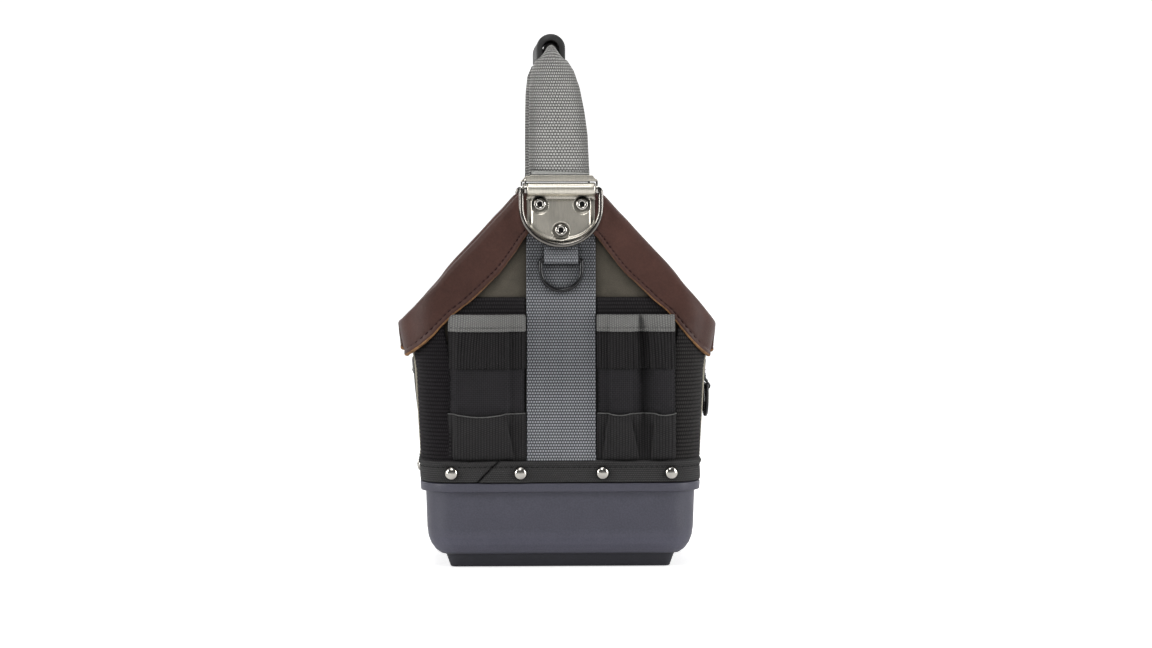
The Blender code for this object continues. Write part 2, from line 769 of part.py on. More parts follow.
def hinge_rivets(side, sign, out):
    head = HINGE_OUT - BARREL_R + PLATE_T + GAP
    tail = -(BACKING_IN + PLATE_T + GAP)
    profile = [
        (0, head + 0.2), (1.6, head + 0.3), (2.2, head + 1.3), (3.4, head + 1.6),
        (4.7, head + 0.9), (4.8, head), (2.45, head), (2.45, tail), (4.2, tail),
        (4.2, tail - 1.0), (0, tail - 1.0),
    ]
    for k, (x, z) in enumerate(HINGE_RIVETS, 1):
        point = gable_point(sign, x, z)
        solid = turned(profile, point, out)
        make(f"{side}_hinge_rivet_{k}", solid, STEEL, origin=point)


def strap_bail(side, sign, pin, axis):
    """A channel that holds the webbing, with a bored ear at each end."""
    frame = local_frame(pin, Vector((0, 0, 1)), Vector((0, sign, 0)))
    solid = bar(frame, BAIL_CHANNEL, (-BAIL_HALF, BAIL_HALF))
    bail = make(f"{side}_strap_bail", solid, STEEL, origin=pin, parent=axis)
    angles = [math.radians(25 - 230 * k / 8) for k in range(9)]
    ear = [(9.3, 1.9), (2.0, 3.6)]
    ear += [(EAR_R * math.sin(angle), EAR_R * math.cos(angle)) for angle in angles]
    ear += [(2.0, -3.6), (9.3, -1.9)]
    for ear_side in (-1, 1):
        solid = bar(frame, ear, sorted(ear_side * x for x in EAR_X))
        cut(bail, make_helper(f"cutter_{side}_ear_{ear_side}", solid), "UNION")
    bore = [(pin, (1, 0, 0))]
    cut(bail, drill(f"cutter_{side}_bail_bore", bore, BAIL_BORE_R, reach=34.0, steps=16))


def build_hinge(side, sign):
    """All the hardware of one gable. Returns the empty on its pin line."""
    pin, up, out = facing(sign)
    frame = local_frame(pin, up, out)
    hinge_plate(side, pin, frame)
    backing_plate(side, frame)
    hinge_rivets(side, sign, out)
    axis = axis_empty(f"{side}_pin_axis", pin)
    d_ring(
        f"{side}_large_d_ring", (Vector((1, 0, 0)), -up), pin, RING_HALF, RING_DROP,
        RING_WIRE, corner=2.4, mat=STEEL, parent=axis,
    )
    strap_bail(side, sign, pin, axis)
    return axis


# ---------------------------------------------------------------- keepers and small D-rings
SMALL_HALF = 15.0
SMALL_DROP = 22.5
SMALL_BAR_Z = 226.5           # bar of the front ring
SIDE_BAR_Z = 130.5            # bar of the right-hand side's ring
SIDE_SEAT_Z = SIDE_BAR_Z + 12.0       # the side pocket's face here sets how far out it is
KEEPER_HALF = 12.4            # 1 inch webbing keeper
KEEPER_LEG = 11.0             # rise of the folded tape above the bar
KEEPER_RI = SMALL_WIRE + 0.35
KEEPER_R = SMALL_WIRE + 1.55


def ring_and_keeper(keeper_name, axis_name, ring_name, centre, across, up, out):
    """A small D-ring, and the folded tape curled round its bar."""
    leg = [(KEEPER_LEG, -KEEPER_RI), (KEEPER_LEG, -KEEPER_R)]
    section = leg + curl(KEEPER_R, KEEPER_RI, turn=290.0, steps=10)
    solid = bar(local_frame(centre, up, out, across), section, (-KEEPER_HALF, KEEPER_HALF))
    make(keeper_name, solid, GREY_WEB, origin=centre)
    d_ring(
        ring_name, (across, -up), centre, SMALL_HALF, SMALL_DROP, SMALL_WIRE,
        corner=2.0, mat=BLACK_WIRE, parent=axis_empty(axis_name, centre),
    )


def build_small_rings():
    _, up, out = facing(-1)
    front_y = -(HALF_D + lean(SMALL_BAR_Z) + GAP + WEB_T + 0.5 + KEEPER_R)
    ring_and_keeper(
        "front_ring_keeper", "front_small_ring_axis", "front_small_d_ring",
        Vector((0.0, front_y, SMALL_BAR_Z)), Vector((1, 0, 0)), up, out,
    )
    pocket_out = side_face(0.0, SIDE_SEAT_Z) + SIDE_POCKET_T
    side_x = HALF_W + widen(SIDE_SEAT_Z) + pocket_out + 0.4 + KEEPER_R
    ring_and_keeper(
        "side_ring_keeper", "side_ring_axis", "side_d_ring",
        Vector((side_x, 0.0, SIDE_BAR_Z)),
        Vector((0, 1, 0)), Vector((0, 0, 1)), Vector((1, 0, 0)),
    )


# ---------------------------------------------------------------- handle
STRAP_T = 2.0
# height, half width, centre x, how far the edges lie back
STRAP_TABLE = [
    (284.9, 22.6, -1.4, 0.0), (300.0, 22.6, -2.0, 0.0), (320.0, 22.3, -3.2, 0.5),
    (338.0, 21.6, -4.6, 1.2), (350.0, 20.2, -5.6, 2.0), (359.0, 17.4, -6.4, 2.4),
    (365.0, 14.0, -6.8, 1.6), (369.2, 9.4, -7.0, 0.5), (371.0, 6.0, -7.0, 0.0),
]
STRAP_SHARES = (-1.0, -0.66, -0.33, 0.0, 0.33, 0.66, 1.0)    # of the half width

GRIP_X = -7.0                 # the soft handle stands slightly to the left
GRIP_PIVOT_Z = 372.0
GRIP_FOOT_Z = 373.0
GRIP_CENTRE_Z = 381.0
GRIP_R, GRIP_RI = 10.7, 5.8
GRIP_HALF_LEN = 50.0
CORE_PAST_PIVOT = 1.3         # the core reaches this far past the pin lines
# x from the grip's middle, z
CORE_SECTION = [
    (-5.2, GRIP_FOOT_Z), (-5.2, 379.5), (-2.6, 383.6), (0.0, 385.0), (2.6, 383.6),
    (5.2, 379.5), (5.2, GRIP_FOOT_Z),
]


def build_strap(side, sign, axis):
    pin = facing(sign)[0]
    loops = []
    for z, half, centre_x, backset in STRAP_TABLE:
        outer, inner = [
            [
                (centre_x + share * half,
                 pin.y - sign * backset * share * share + skin * STRAP_T / 2, z)
                for share in STRAP_SHARES
            ]
            for skin in (sign, -sign)
        ]
        loops.append(outer + inner[::-1])
    make(f"{side}_handle_strap", sweep(loops), GREY_WEB, origin=pin, parent=axis)


def arch(radius):
    """(x, z) points of a half round on straight legs."""
    angles = [math.pi * k / 12 for k in range(13)]
    top = [
        (radius * math.cos(angle), GRIP_CENTRE_Z + radius * math.sin(angle))
        for angle in angles
    ]
    return [(radius, GRIP_FOOT_Z)] + top + [(-radius, GRIP_FOOT_Z)]


def build_grip():
    pivot = Vector((GRIP_X, facing(-1)[0].y, GRIP_PIVOT_Z))
    axis = axis_empty("grip_axis", pivot)
    reach = abs(pivot.y) + CORE_PAST_PIVOT
    grip_ends = (-GRIP_HALF_LEN, GRIP_HALF_LEN)
    rubber_section = arch(GRIP_R) + arch(GRIP_RI)[::-1]
    for name, section, stations, mat in (
        ("grip_core_webbing", CORE_SECTION, (-reach, *grip_ends, reach), GREY_WEB),
        ("handle_grip", rubber_section, grip_ends, RUBBER),
    ):
        loops = [[(GRIP_X + x, y, z) for x, z in section] for y in stations]
        make(name, sweep(loops), mat, origin=pivot, parent=axis)


# ---------------------------------------------------------------- base rivets
def build_base_rivets():
    head = GAP + BAND_T + GAP
    tail = -7.6
    profile = [
        (0, head + 3.0), (1.8, head + 2.8), (3.4, head + 2.0), (4.4, head + 0.8),
        (4.6, head), (1.95, head), (1.95, tail), (3.6, tail), (3.6, tail - 1.0),
        (0, tail - 1.0),
    ]
    for name, along in BASE_RIVETS.items():
        point, normal = base_rivet_axis(along)
        make(name, turned(profile, point, normal, 12), STEEL, origin=point)


# ---------------------------------------------------------------- assembly
build_tray()
build_band()
build_panels()
build_trims()
build_webbing()
build_outside_pockets()
build_inside_pockets()
for face_name, y_sign, _ in FACES:
    pin_axis = build_hinge(face_name, y_sign)
    build_strap(face_name, y_sign, pin_axis)
build_small_rings()
build_grip()
build_base_rivets()
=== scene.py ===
import json
import math
from bisect import bisect_left
from collections import namedtuple
from functools import cached_property
from itertools import accumulate
from math import cos, pi, sin

import bmesh
import bpy
from mathutils import Matrix, Vector, noise


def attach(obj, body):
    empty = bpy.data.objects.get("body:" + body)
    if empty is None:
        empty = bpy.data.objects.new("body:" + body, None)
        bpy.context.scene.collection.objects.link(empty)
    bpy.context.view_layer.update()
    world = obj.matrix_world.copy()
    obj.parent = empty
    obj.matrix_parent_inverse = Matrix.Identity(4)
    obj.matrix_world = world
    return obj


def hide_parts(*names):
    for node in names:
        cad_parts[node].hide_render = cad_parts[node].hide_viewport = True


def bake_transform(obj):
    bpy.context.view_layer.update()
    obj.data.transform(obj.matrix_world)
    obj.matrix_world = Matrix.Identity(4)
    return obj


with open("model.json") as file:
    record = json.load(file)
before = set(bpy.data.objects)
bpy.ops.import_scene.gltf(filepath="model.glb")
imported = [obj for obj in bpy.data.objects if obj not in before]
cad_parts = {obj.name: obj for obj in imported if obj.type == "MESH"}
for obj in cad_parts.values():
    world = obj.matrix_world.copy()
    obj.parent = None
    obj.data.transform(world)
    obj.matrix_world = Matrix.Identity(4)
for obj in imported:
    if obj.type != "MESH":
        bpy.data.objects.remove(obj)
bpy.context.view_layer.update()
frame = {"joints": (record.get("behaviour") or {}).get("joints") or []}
MM = 0.001
JOINT = {joint["name"]: Vector(joint["pos_m"]) / MM for joint in frame["joints"]}

# ---------------------------------------------------------------- shell form
HALF_W, HALF_D, CORNER_R, PANEL_T = 100.4, 72.0, 24.0, 3.5
PEAK_Z, PEAK_HALF = 272.0, 28.6
GABLE_SLOPE = 1.274  # on the unflared wall, the first guess
FLARED_SLOPE = 1.124  # on the flared body
LEAN_START_Z, LEAN_PER_MM = 75.0, 16.0 / 202.0
WIDEN_PER_MM, WIDEN_RISE = 3.6 / 85.0, 85.0
FLARE, FLARE_Z = 6.0, (145.0, 190.0)
SIDE_BULGE = 3.3
TILT = math.atan(LEAN_PER_MM)

FLAT_X, FLAT_Y = HALF_W - CORNER_R, HALF_D - CORNER_R  # half lengths of the flat walls
ARC = CORNER_R * pi / 2
CORNER_END = FLAT_X + ARC
QUARTER = CORNER_END + FLAT_Y
PERIMETER = 4 * QUARTER
FACES = (("front", 0.0), ("back", 2 * QUARTER))  # name, s at its middle
SIDES = (("right", QUARTER), ("left", -QUARTER))

WALL_FOOT_Z = 63.0
FOOT_Z = 79.0  # lower edge of the pockets and tapes
CENTRE_TOP_Z = 251.0
WEB_ROW, WEB_COLUMN = 2.1, 1.9  # weave of the grey webbing


def clamp(value, low=0.0, high=1.0):
    return max(low, min(high, value))


def smooth(value):
    value = clamp(value)
    return value * value * (3 - 2 * value)


def hump(value, centre, width):
    return math.exp(-((value - centre) / width) ** 2)


def table(value, rows, ease=clamp):
    """Reads a table of (position, value), with ease shaping the steps between its rows."""
    for (start, before), (end, after) in zip(rows, rows[1:]):
        if value <= end:
            return before + (after - before) * ease((value - start) / (end - start))
    return rows[-1][1]


def divide(start, end, count):
    return [start + (end - start) * k / count for k in range(count + 1)]


def span(start, end, step):
    return divide(start, end, max(1, int(round((end - start) / step))))


def running(points):
    """The distance run at each point of a line."""
    points = list(points)
    return list(accumulate((math.dist(a, b) for a, b in zip(points, points[1:])), initial=0.0))


def wobble(s, z, size, seed=0.0):
    return noise.noise(Vector((s / size, z / size, seed)))


def ribs(value, pitch, height):
    return height * (abs(sin(pi * value / pitch)) ** 0.55 - 0.6)


def weave(along, up, height):
    """Relief of short floats in rows that step half a float from row to row."""
    ridge = abs(sin(pi * up / WEB_ROW)) ** 0.6
    shift = math.floor(up / WEB_ROW) * WEB_COLUMN / 2
    floats = abs(sin(pi * (along + shift) / WEB_COLUMN)) ** 0.7
    return height * (ridge * (0.12 + 0.88 * floats) - 0.5)


def path(s, out):
    """Plan of the unflared wall, offset outwards."""
    s = (s + PERIMETER / 2) % PERIMETER - PERIMETER / 2
    turn = -1.0 if s < 0 else 1.0
    s = abs(s)
    back = s > QUARTER
    if back:
        s = 2 * QUARTER - s
    if s <= FLAT_X:
        x, y = s, HALF_D + out
    elif s <= CORNER_END:
        angle = (s - FLAT_X) / CORNER_R
        radius = CORNER_R + out
        x, y = FLAT_X + radius * sin(angle), FLAT_Y + radius * cos(angle)
    else:
        x, y = HALF_W + out, FLAT_Y - (s - CORNER_END)
    return turn * x, (y if back else -y)


def widen(z):
    rise = max(0.0, z - LEAN_START_Z)
    flare = FLARE * smooth((z - FLARE_Z[0]) / (FLARE_Z[1] - FLARE_Z[0]))
    return WIDEN_PER_MM * min(rise, WIDEN_RISE) + flare


def lean(z):
    return -LEAN_PER_MM * max(0.0, z - LEAN_START_Z)


def form(x, y, z):
    """Flares, bulges and leans a point of the straight shell."""
    near_side = smooth((abs(x) - 40.0) / (FLAT_X - 40.0))
    near_face = min(1.0, abs(y) / FLAT_Y)
    side = smooth((abs(x) - FLAT_X) / CORNER_R) * (1 - min(1.0, abs(y) / (FLAT_Y + 3)) ** 6)
    swell = smooth((z - 82.0) / 62.0) * (1 - smooth((z - 158.0) / 30.0) * 0.55)
    grow = widen(z) * near_side + SIDE_BULGE * side * swell
    return (x + math.copysign(grow, x), y + math.copysign(1.0, y) * lean(z) * near_face, z)


def at(s, out, z):
    return form(*path(s, out), z)


def gable(s):
    """Height of the wall's edge, solved so that the edge is straight on the flared body."""
    x, y = path(s, 0.0)
    z = PEAK_Z - GABLE_SLOPE * (abs(x) - PEAK_HALF)
    for _ in range(6):
        z = PEAK_Z - FLARED_SLOPE * (abs(form(x, y, z)[0]) - PEAK_HALF)
    return min(PEAK_Z, z)


SIDE_TOP_Z = gable(CORNER_END)


# ---------------------------------------------------------------- shader helpers
def add_node(tree, kind, inputs=None, **props):
    """Adds a node; each input is linked from a socket or set to a value."""
    node = tree.nodes.new("ShaderNode" + kind)
    for key, value in props.items():
        setattr(node, key, value)
    for key, value in (inputs or {}).items():
        plug(tree, node.inputs[key], value)
    return node


def plug(tree, socket, value):
    if isinstance(value, bpy.types.NodeSocket):
        tree.links.new(value, socket)
    else:
        socket.default_value = value


def tone(rgb, factor):
    return tuple(channel * factor for channel in rgb)


class Mat:
    """A procedural material and its CAD slot; textures read sheet (mm) or object (m) places."""

    def __init__(self, name, slot, rgb, rough, metal=0.0):
        self.slot = slot
        self.material = bpy.data.materials.new(name)
        self.material.use_nodes = True
        self.tree = self.material.node_tree
        self.shader = self.tree.nodes["Principled BSDF"]
        self.set("Base Color", (*rgb, 1.0))
        self.set("Roughness", rough)
        self.set("Metallic", metal)
        self.material.diffuse_color = (*rgb, 1.0)

    def set(self, key, value):
        plug(self.tree, self.shader.inputs[key], value)

    def node(self, kind, inputs=None, **props):
        return add_node(self.tree, kind, inputs, **props)

    def math(self, operation, first, second=0.0, third=0.0):
        inputs = {0: first, 1: second, 2: third}
        return self.node("Math", inputs, operation=operation).outputs[0]

    @cached_property
    def uv(self):
        """Sheet coordinates in mm: along, up."""
        place = self.node("UVMap", uv_map="UVMap").outputs[0]
        parts = self.node("SeparateXYZ", {0: place}).outputs
        return tuple(self.math("MULTIPLY", parts[k], 100.0) for k in (0, 1))

    @cached_property
    def place(self):
        return self.node("TexCoord").outputs["Object"]

    def noise(self, scale, detail=3.0, rough=0.55, stretch=None):
        place = self.place
        if stretch:
            place = self.node("Mapping", {"Vector": place, "Scale": stretch}).outputs[0]
        inputs = {"Vector": place, "Scale": scale, "Detail": detail, "Roughness": rough}
        return self.node("TexNoise", inputs).outputs["Fac"]

    def ramp(self, fac, stops):
        node = self.node("ValToRGB", {"Fac": fac})
        elements = node.color_ramp.elements
        while len(elements) < len(stops):
            elements.new(0.5)
        for element, (position, rgb) in zip(elements, stops):
            element.position = position
            element.color = (*rgb, 1.0)
        return node.outputs["Color"]

    def shades(self, fac, rgb, *stops):
        """A ramp through shades of one colour; each stop is (position, brightness)."""
        return self.ramp(fac, [(position, tone(rgb, factor)) for position, factor in stops])

    def mix(self, fac, first, second, mode="MIX"):
        inputs = {0: fac}
        for key, colour in ((6, first), (7, second)):
            is_socket = isinstance(colour, bpy.types.NodeSocket)
            inputs[key] = colour if is_socket else (*colour, 1.0)
        return self.node("Mix", inputs, data_type="RGBA", blend_type=mode).outputs[2]

    def bump(self, height, distance, strength=1.0):
        inputs = {"Height": height, "Distance": distance, "Strength": strength}
        self.set("Normal", self.node("Bump", inputs).outputs[0])

    def paint_fold_shade(self, colour, distance, power):
        """Paints shade into folds and grooves: darkens the colour where the ambient occlusion node
        finds surfaces close by.
        """
        open_sky = self.node("AmbientOcclusion", {"Distance": distance}, samples=4).outputs["AO"]
        return self.mix(1.0, colour, self.math("POWER", open_sky, power), "MULTIPLY")

    def lobes(self, coordinate, pitch):
        """|sin| humps, one each pitch."""
        angle = self.math("MULTIPLY_ADD", coordinate, pi / pitch, 0.0)
        return self.math("ABSOLUTE", self.math("SINE", angle))

    def rise(self, value, low, over, unit=1.0):
        """0 to 1 over a range given in mm; unit is the value's mm per unit."""
        share = self.math("MULTIPLY_ADD", value, unit / over, -low / over)
        return self.node("Clamp", {0: share}).outputs[0]


# ---------------------------------------------------------------- material kinds
def woven(name, slot, rgb, row, column, rough=0.85, dark=0.35, light=1.5, relief=0.00035,
          swap=False, patch=0.25, specular=0.12, fold=0.007, shade_by_height=()):
    """Webbing: rows of short floats that step half a float from row to row.

    dark and light are the brightness painted into the gaps and crowns, as painted shade and
    painted highlight, patch the share of cloudy patches, fold the reach of the painted shade in
    folds (m), shade_by_height the painted light and shade at shares of the centre tape's height.
    swap turns the rows upright."""
    mat = Mat(name, slot, rgb, rough)
    along, up = mat.uv[::-1] if swap else mat.uv
    row_index = mat.math("FLOOR", mat.math("DIVIDE", up, row))
    ridge = mat.lobes(up, row)
    floats = mat.lobes(mat.math("MULTIPLY_ADD", row_index, column * 0.5, along), column)
    crowns = mat.math("MULTIPLY_ADD", mat.math("POWER", floats, 0.7), 0.88, 0.12)
    height = mat.math("MULTIPLY", mat.math("POWER", ridge, 0.6), crowns)
    cloud = mat.noise(38.0)
    fibre = mat.noise(1400.0, detail=2.0)
    # painted shade in the gaps of the weave and painted highlight on its crowns
    yarns = (0.0, dark * 0.6), (0.3, dark * 1.6), (0.6, 1.0), (1.0, light)
    colour = mat.shades(height, rgb, *yarns)
    colour = mat.mix(patch, colour, mat.shades(cloud, rgb, (0.3, 0.7), (0.7, 1.3)))
    colour = mat.mix(0.22, colour, mat.shades(fibre, rgb, (0.3, 0.6), (0.7, 1.5)))
    # painted light and shade: brightness set by height up the centre tape
    if shade_by_height:
        share = mat.rise(mat.uv[1], low=FOOT_Z, over=CENTRE_TOP_Z - FOOT_Z)
        colour = mat.mix(1.0, colour, mat.shades(share, (1.0, 1.0, 1.0), *shade_by_height), "MULTIPLY")
    # painted shade: the colour is darkened in folds and grooves
    mat.set("Base Color", mat.paint_fold_shade(colour, fold, power=1.2))
    mat.bump(mat.math("MULTIPLY_ADD", fibre, 0.12, height), relief)
    mat.set("Roughness", mat.math("MULTIPLY_ADD", cloud, 0.15, rough - 0.1))
    mat.set("Sheen Weight", 0.04)
    mat.set("Sheen Roughness", 0.5)
    mat.set("Specular IOR Level", specular)
    return mat


def thread(name, slot, rgb):
    return woven(name, slot, rgb, row=0.5, column=0.5, rough=0.6)


def ballistic_nylon(rgb=(0.0118, 0.0108, 0.0125), pitch=1.5, rough=0.75):
    """Pairs of yarns crossing in a small checker."""
    mat = Mat("ballistic_nylon", "black_nylon", rgb, rough)
    cells = [mat.math("FLOOR", mat.math("DIVIDE", axis, pitch)) for axis in mat.uv]
    odd = mat.math("MODULO", mat.math("ABSOLUTE", mat.math("ADD", *cells)), 2.0)

    def yarns(across, along):
        twist = mat.math("MULTIPLY_ADD", mat.lobes(along, pitch / 2), 0.4, 0.6)
        return mat.math("MULTIPLY", mat.lobes(across, pitch), twist)

    along, up = mat.uv
    choice = {0: odd, 2: yarns(along, up), 3: yarns(up, along)}
    height = mat.node("Mix", choice, data_type="FLOAT").outputs[0]
    cloud = mat.noise(30.0)
    # painted shade in the gaps between yarns and painted highlight on their crowns
    colour = mat.shades(height, rgb, (0.0, 0.4), (0.6, 1.0), (1.0, 3.0))
    colour = mat.mix(0.3, colour, mat.shades(cloud, rgb, (0.3, 0.6), (0.72, 1.7)))
    # painted shade: the colour is darkened in folds and between the lobes
    mat.set("Base Color", mat.paint_fold_shade(colour, distance=0.014, power=2.0))
    mat.bump(height, distance=0.0003)
    mat.set("Roughness", mat.math("MULTIPLY_ADD", height, -0.2, rough))
    mat.set("Sheen Weight", 0.03)
    mat.set("Specular IOR Level", 0.2)
    return mat


def brown_leather(rgb=(0.066, 0.028, 0.021)):
    mat = Mat("brown_leather", "leather", rgb, 0.42)
    big = mat.noise(22.0, 4.0, 0.6)
    fine = mat.noise(700.0, 4.0, 0.6)
    cell_scale = {"Vector": mat.place, "Scale": 950.0}
    cells = mat.node("TexVoronoi", cell_scale, feature="DISTANCE_TO_EDGE")
    crease = mat.math("SMOOTH_MIN", cells.outputs["Distance"], 0.25, 0.1)
    colour = mat.shades(big, rgb, (0.25, 0.62), (0.5, 1.0), (0.78, 1.5))
    colour = mat.mix(0.35, colour, mat.shades(fine, rgb, (0.3, 0.6), (0.7, 1.35)))
    mat.set("Base Color", colour)
    height = mat.math("ADD", mat.math("MULTIPLY", crease, 1.4), mat.math("MULTIPLY", fine, 0.6))
    mat.bump(height, distance=0.00022, strength=0.7)
    mat.set("Roughness", mat.math("MULTIPLY_ADD", big, 0.22, 0.36))
    mat.set("Specular IOR Level", 0.3)
    return mat


def raw_leather_edge(rgb=(0.30, 0.15, 0.06), dark=(0.06, 0.026, 0.018)):
    """Tan fibres, darker above 188 mm."""
    mat = Mat("leather_raw_edge", "leather", rgb, 0.9)
    fibre = mat.noise(260.0, 5.0, 0.7)
    height = mat.node("SeparateXYZ", {0: mat.place}).outputs[2]
    tan = mat.shades(fibre, rgb, (0.25, 0.35), (0.5, 1.0), (0.75, 1.5))
    share = mat.rise(height, low=188.0, over=26.0, unit=1000.0)
    mat.set("Base Color", mat.mix(mat.math("MULTIPLY", share, 0.85), tan, dark))
    mat.bump(fibre, distance=0.0005)
    return mat


def steel(name, rgb, rough, stretch=(1.0, 1.0, 1.0)):
    mat = Mat(name, "stainless", rgb, rough, metal=1.0)
    brushed = mat.noise(260.0, 4.0, 0.7, stretch)
    smudge = mat.noise(45.0, 4.0, 0.6)
    smudges = mat.shades(smudge, rgb, (0.3, 0.75), (0.7, 1.08))
    colour = mat.mix(0.5, smudges, mat.shades(brushed, rgb, (0.3, 0.72), (0.7, 1.15)))
    # painted shade: the colour is darkened in the rivet dishes and other recesses
    mat.set("Base Color", mat.paint_fold_shade(colour, distance=0.005, power=2.0))
    both = mat.math("ADD", brushed, smudge)
    mat.set("Roughness", mat.math("MULTIPLY_ADD", both, 0.12, rough - 0.1))
    mat.bump(brushed, distance=0.00004, strength=0.4)
    return mat


def moulded(name, slot, rgb, rough, grain=900.0, relief=0.00012, tint=None):
    """Grained, scuffed plastic or coating; tint, when given, paints light and shade into its
    colour.
    """
    mat = Mat(name, slot, rgb, rough)
    grains = mat.noise(grain, detail=2.0, rough=0.5)
    scuff = mat.noise(60.0, detail=6.0, rough=0.65)
    scuffs = mat.shades(scuff, rgb, (0.3, 0.85), (0.72, 1.16))
    colour = mat.mix(0.6, scuffs, mat.shades(grains, rgb, (0.35, 0.85), (0.65, 1.15)))
    mat.set("Base Color", tint(mat, colour) if tint else colour)
    mat.set("Roughness", mat.math("MULTIPLY_ADD", scuff, 0.16, rough - 0.06))
    mat.bump(grains, relief, strength=0.6)
    return mat


def tray_painted_light(mat, colour):
    """Painted light low on the tray, where the floor's bounce falls, and painted shade on the foot
    below 10.2 mm.
    """
    place = mat.node("TexCoord").outputs["Object"]
    height = mat.node("SeparateXYZ", {0: place}).outputs[2]
    # painted shade: the foot below 10.2 mm is darkened
    unshaded = mat.rise(height, low=10.2, over=1.2, unit=1000.0)
    share = mat.node("Clamp", {0: mat.math("MULTIPLY", height, 1000.0 / 60.0)}).outputs[0]
    # painted light: brighter from about 12 to 30 mm, standing in for the floor's bounce
    band = mat.ramp(share, [  # share of 60 mm, brightness
        (0.2, (1.34, 1.34, 1.36)), (0.34, (1.3, 1.3, 1.32)),
        (0.5, (1.0, 1.0, 1.0)), (0.95, (1.0, 1.0, 1.0)),
    ])
    colour = mat.mix(1.0, colour, band, "MULTIPLY")
    # the foot is painted dark as shade
    return mat.mix(unshaded, mat.mix(1.0, colour, (0.27, 0.27, 0.27), "MULTIPLY"), colour)


# ---------------------------------------------------------------- materials
GREY = (0.190, 0.196, 0.210)
WEB = dict(row=WEB_ROW, column=WEB_COLUMN, fold=0.004)
WIDE_RIBS = dict(row=2.8, column=1.4)
UPRIGHT_RIBS = dict(row=2.1, column=1.4, swap=True)
# painted light and shade up the centre tape: share of its height, brightness
CENTRE_SHADE_BY_HEIGHT = (
    (0.0, 1.2), (0.25, 1.1), (0.42, 0.86), (0.58, 0.88),
    (0.70, 1.05), (0.76, 0.86), (0.86, 0.62), (1.0, 0.55),
)
GREY_WEB = woven("grey_webbing", "grey_webbing", tone(GREY, 0.9), dark=0.05, light=2.7,
                 relief=0.0005, **WEB)
CENTRE_WEB = woven("centre_webbing", "grey_webbing", GREY, dark=0.04, light=3.0, relief=0.0006,
                   shade_by_height=CENTRE_SHADE_BY_HEIGHT, **WEB)
STRAP_WEB = woven("strap_webbing", "grey_webbing", (0.365, 0.361, 0.348), dark=0.04, light=2.4,
                  relief=0.0006, **WEB)
BINDING = woven("binding_tape", "grey_webbing", (0.182, 0.181, 0.174), row=1.6, column=1.3,
                dark=0.3, light=1.7, relief=0.0003, swap=True)
TIER_WEB = woven("black_webbing_ribs", "black_webbing", (0.015, 0.0135, 0.0145), dark=0.2,
                 light=2.4, relief=0.0003, **WIDE_RIBS)
# one black webbing as a shaded copy (left) and a lit copy (right): painted shade and painted light
CORNER_WEB = {
    "left": woven("corner_webbing_shaded", "black_webbing", (0.0115, 0.0100, 0.0115), dark=0.1,
                  light=3.0, relief=0.0004, **WIDE_RIBS),
    "right": woven("corner_webbing_lit", "black_webbing", (0.0225, 0.0210, 0.0205), dark=0.1,
                   light=2.8, relief=0.0004, specular=0.14, **WIDE_RIBS),
}
POCKET_BAND_WEB = woven("black_webbing_band", "black_webbing", (0.0165, 0.0155, 0.016),
                        dark=0.2, light=2.4, relief=0.0003, specular=0.14, **UPRIGHT_RIBS)
LOWER_WEB = woven("lower_pocket_webbing", "black_webbing", (0.0255, 0.0245, 0.0250), dark=0.3,
                  light=1.9, relief=0.0002, fold=0.004, **UPRIGHT_RIBS)
FOOT_WEB = woven("foot_band_webbing", "black_webbing", (0.043, 0.042, 0.042), row=1.5,
                 column=1.3, dark=0.3, light=1.9, relief=0.0003)
NYLON = ballistic_nylon()
# painted shade: the tan canvas is coloured much darker than its cloth, and its strong cloudy
# patches are painted shadow
CANVAS = woven("khaki_canvas", "canvas_tan", (0.102, 0.090, 0.071), row=0.8, column=0.8,
               dark=0.45, light=1.3, relief=0.0002, patch=0.85)
PIPING = woven("pale_piping", "canvas_tan", (0.46, 0.43, 0.35), row=1.1, column=0.9, dark=0.6,
               light=1.2, relief=0.0002)
LEATHER = brown_leather()
LEATHER_EDGE = raw_leather_edge()
# near-black disc set in each eyelet's bore as painted shade
HOLE_SHADE = moulded("rivet_hole_shade", "stainless", (0.006, 0.006, 0.006), rough=0.6)
HEM = woven("pale_hem", "grey_webbing", (0.42, 0.42, 0.40), row=0.9, column=0.9, dark=0.6,
            light=1.2)
DARK_THREAD = thread("dark_thread", "leather", (0.045, 0.014, 0.013))
GREY_THREAD = thread("grey_thread", "grey_webbing", (0.16, 0.16, 0.155))
BLACK_THREAD = thread("black_thread", "black_webbing", (0.010, 0.010, 0.010))
PLATE = steel("plate_steel", (0.92, 0.87, 0.76), rough=0.33, stretch=(9.0, 0.6, 0.6))
CHROME = steel("polished_steel", (0.70, 0.67, 0.62), rough=0.14)
WIRE = steel("ring_steel", (0.25, 0.235, 0.215), rough=0.15)
BLACK_WIRE = moulded("black_ring_coating", "black_wire", (0.009, 0.009, 0.010), rough=0.17,
                     grain=500.0, relief=0.00004)
RUBBER = moulded("grip_rubber", "grip_rubber", (0.024, 0.024, 0.024), rough=0.42, grain=700.0,
                 relief=0.0001)
# the tray's colour carries painted light low on the wall and painted shade on the foot
BASE = moulded("base_plastic", "base_plastic", (0.066, 0.065, 0.088), rough=0.42, tint=tray_painted_light)


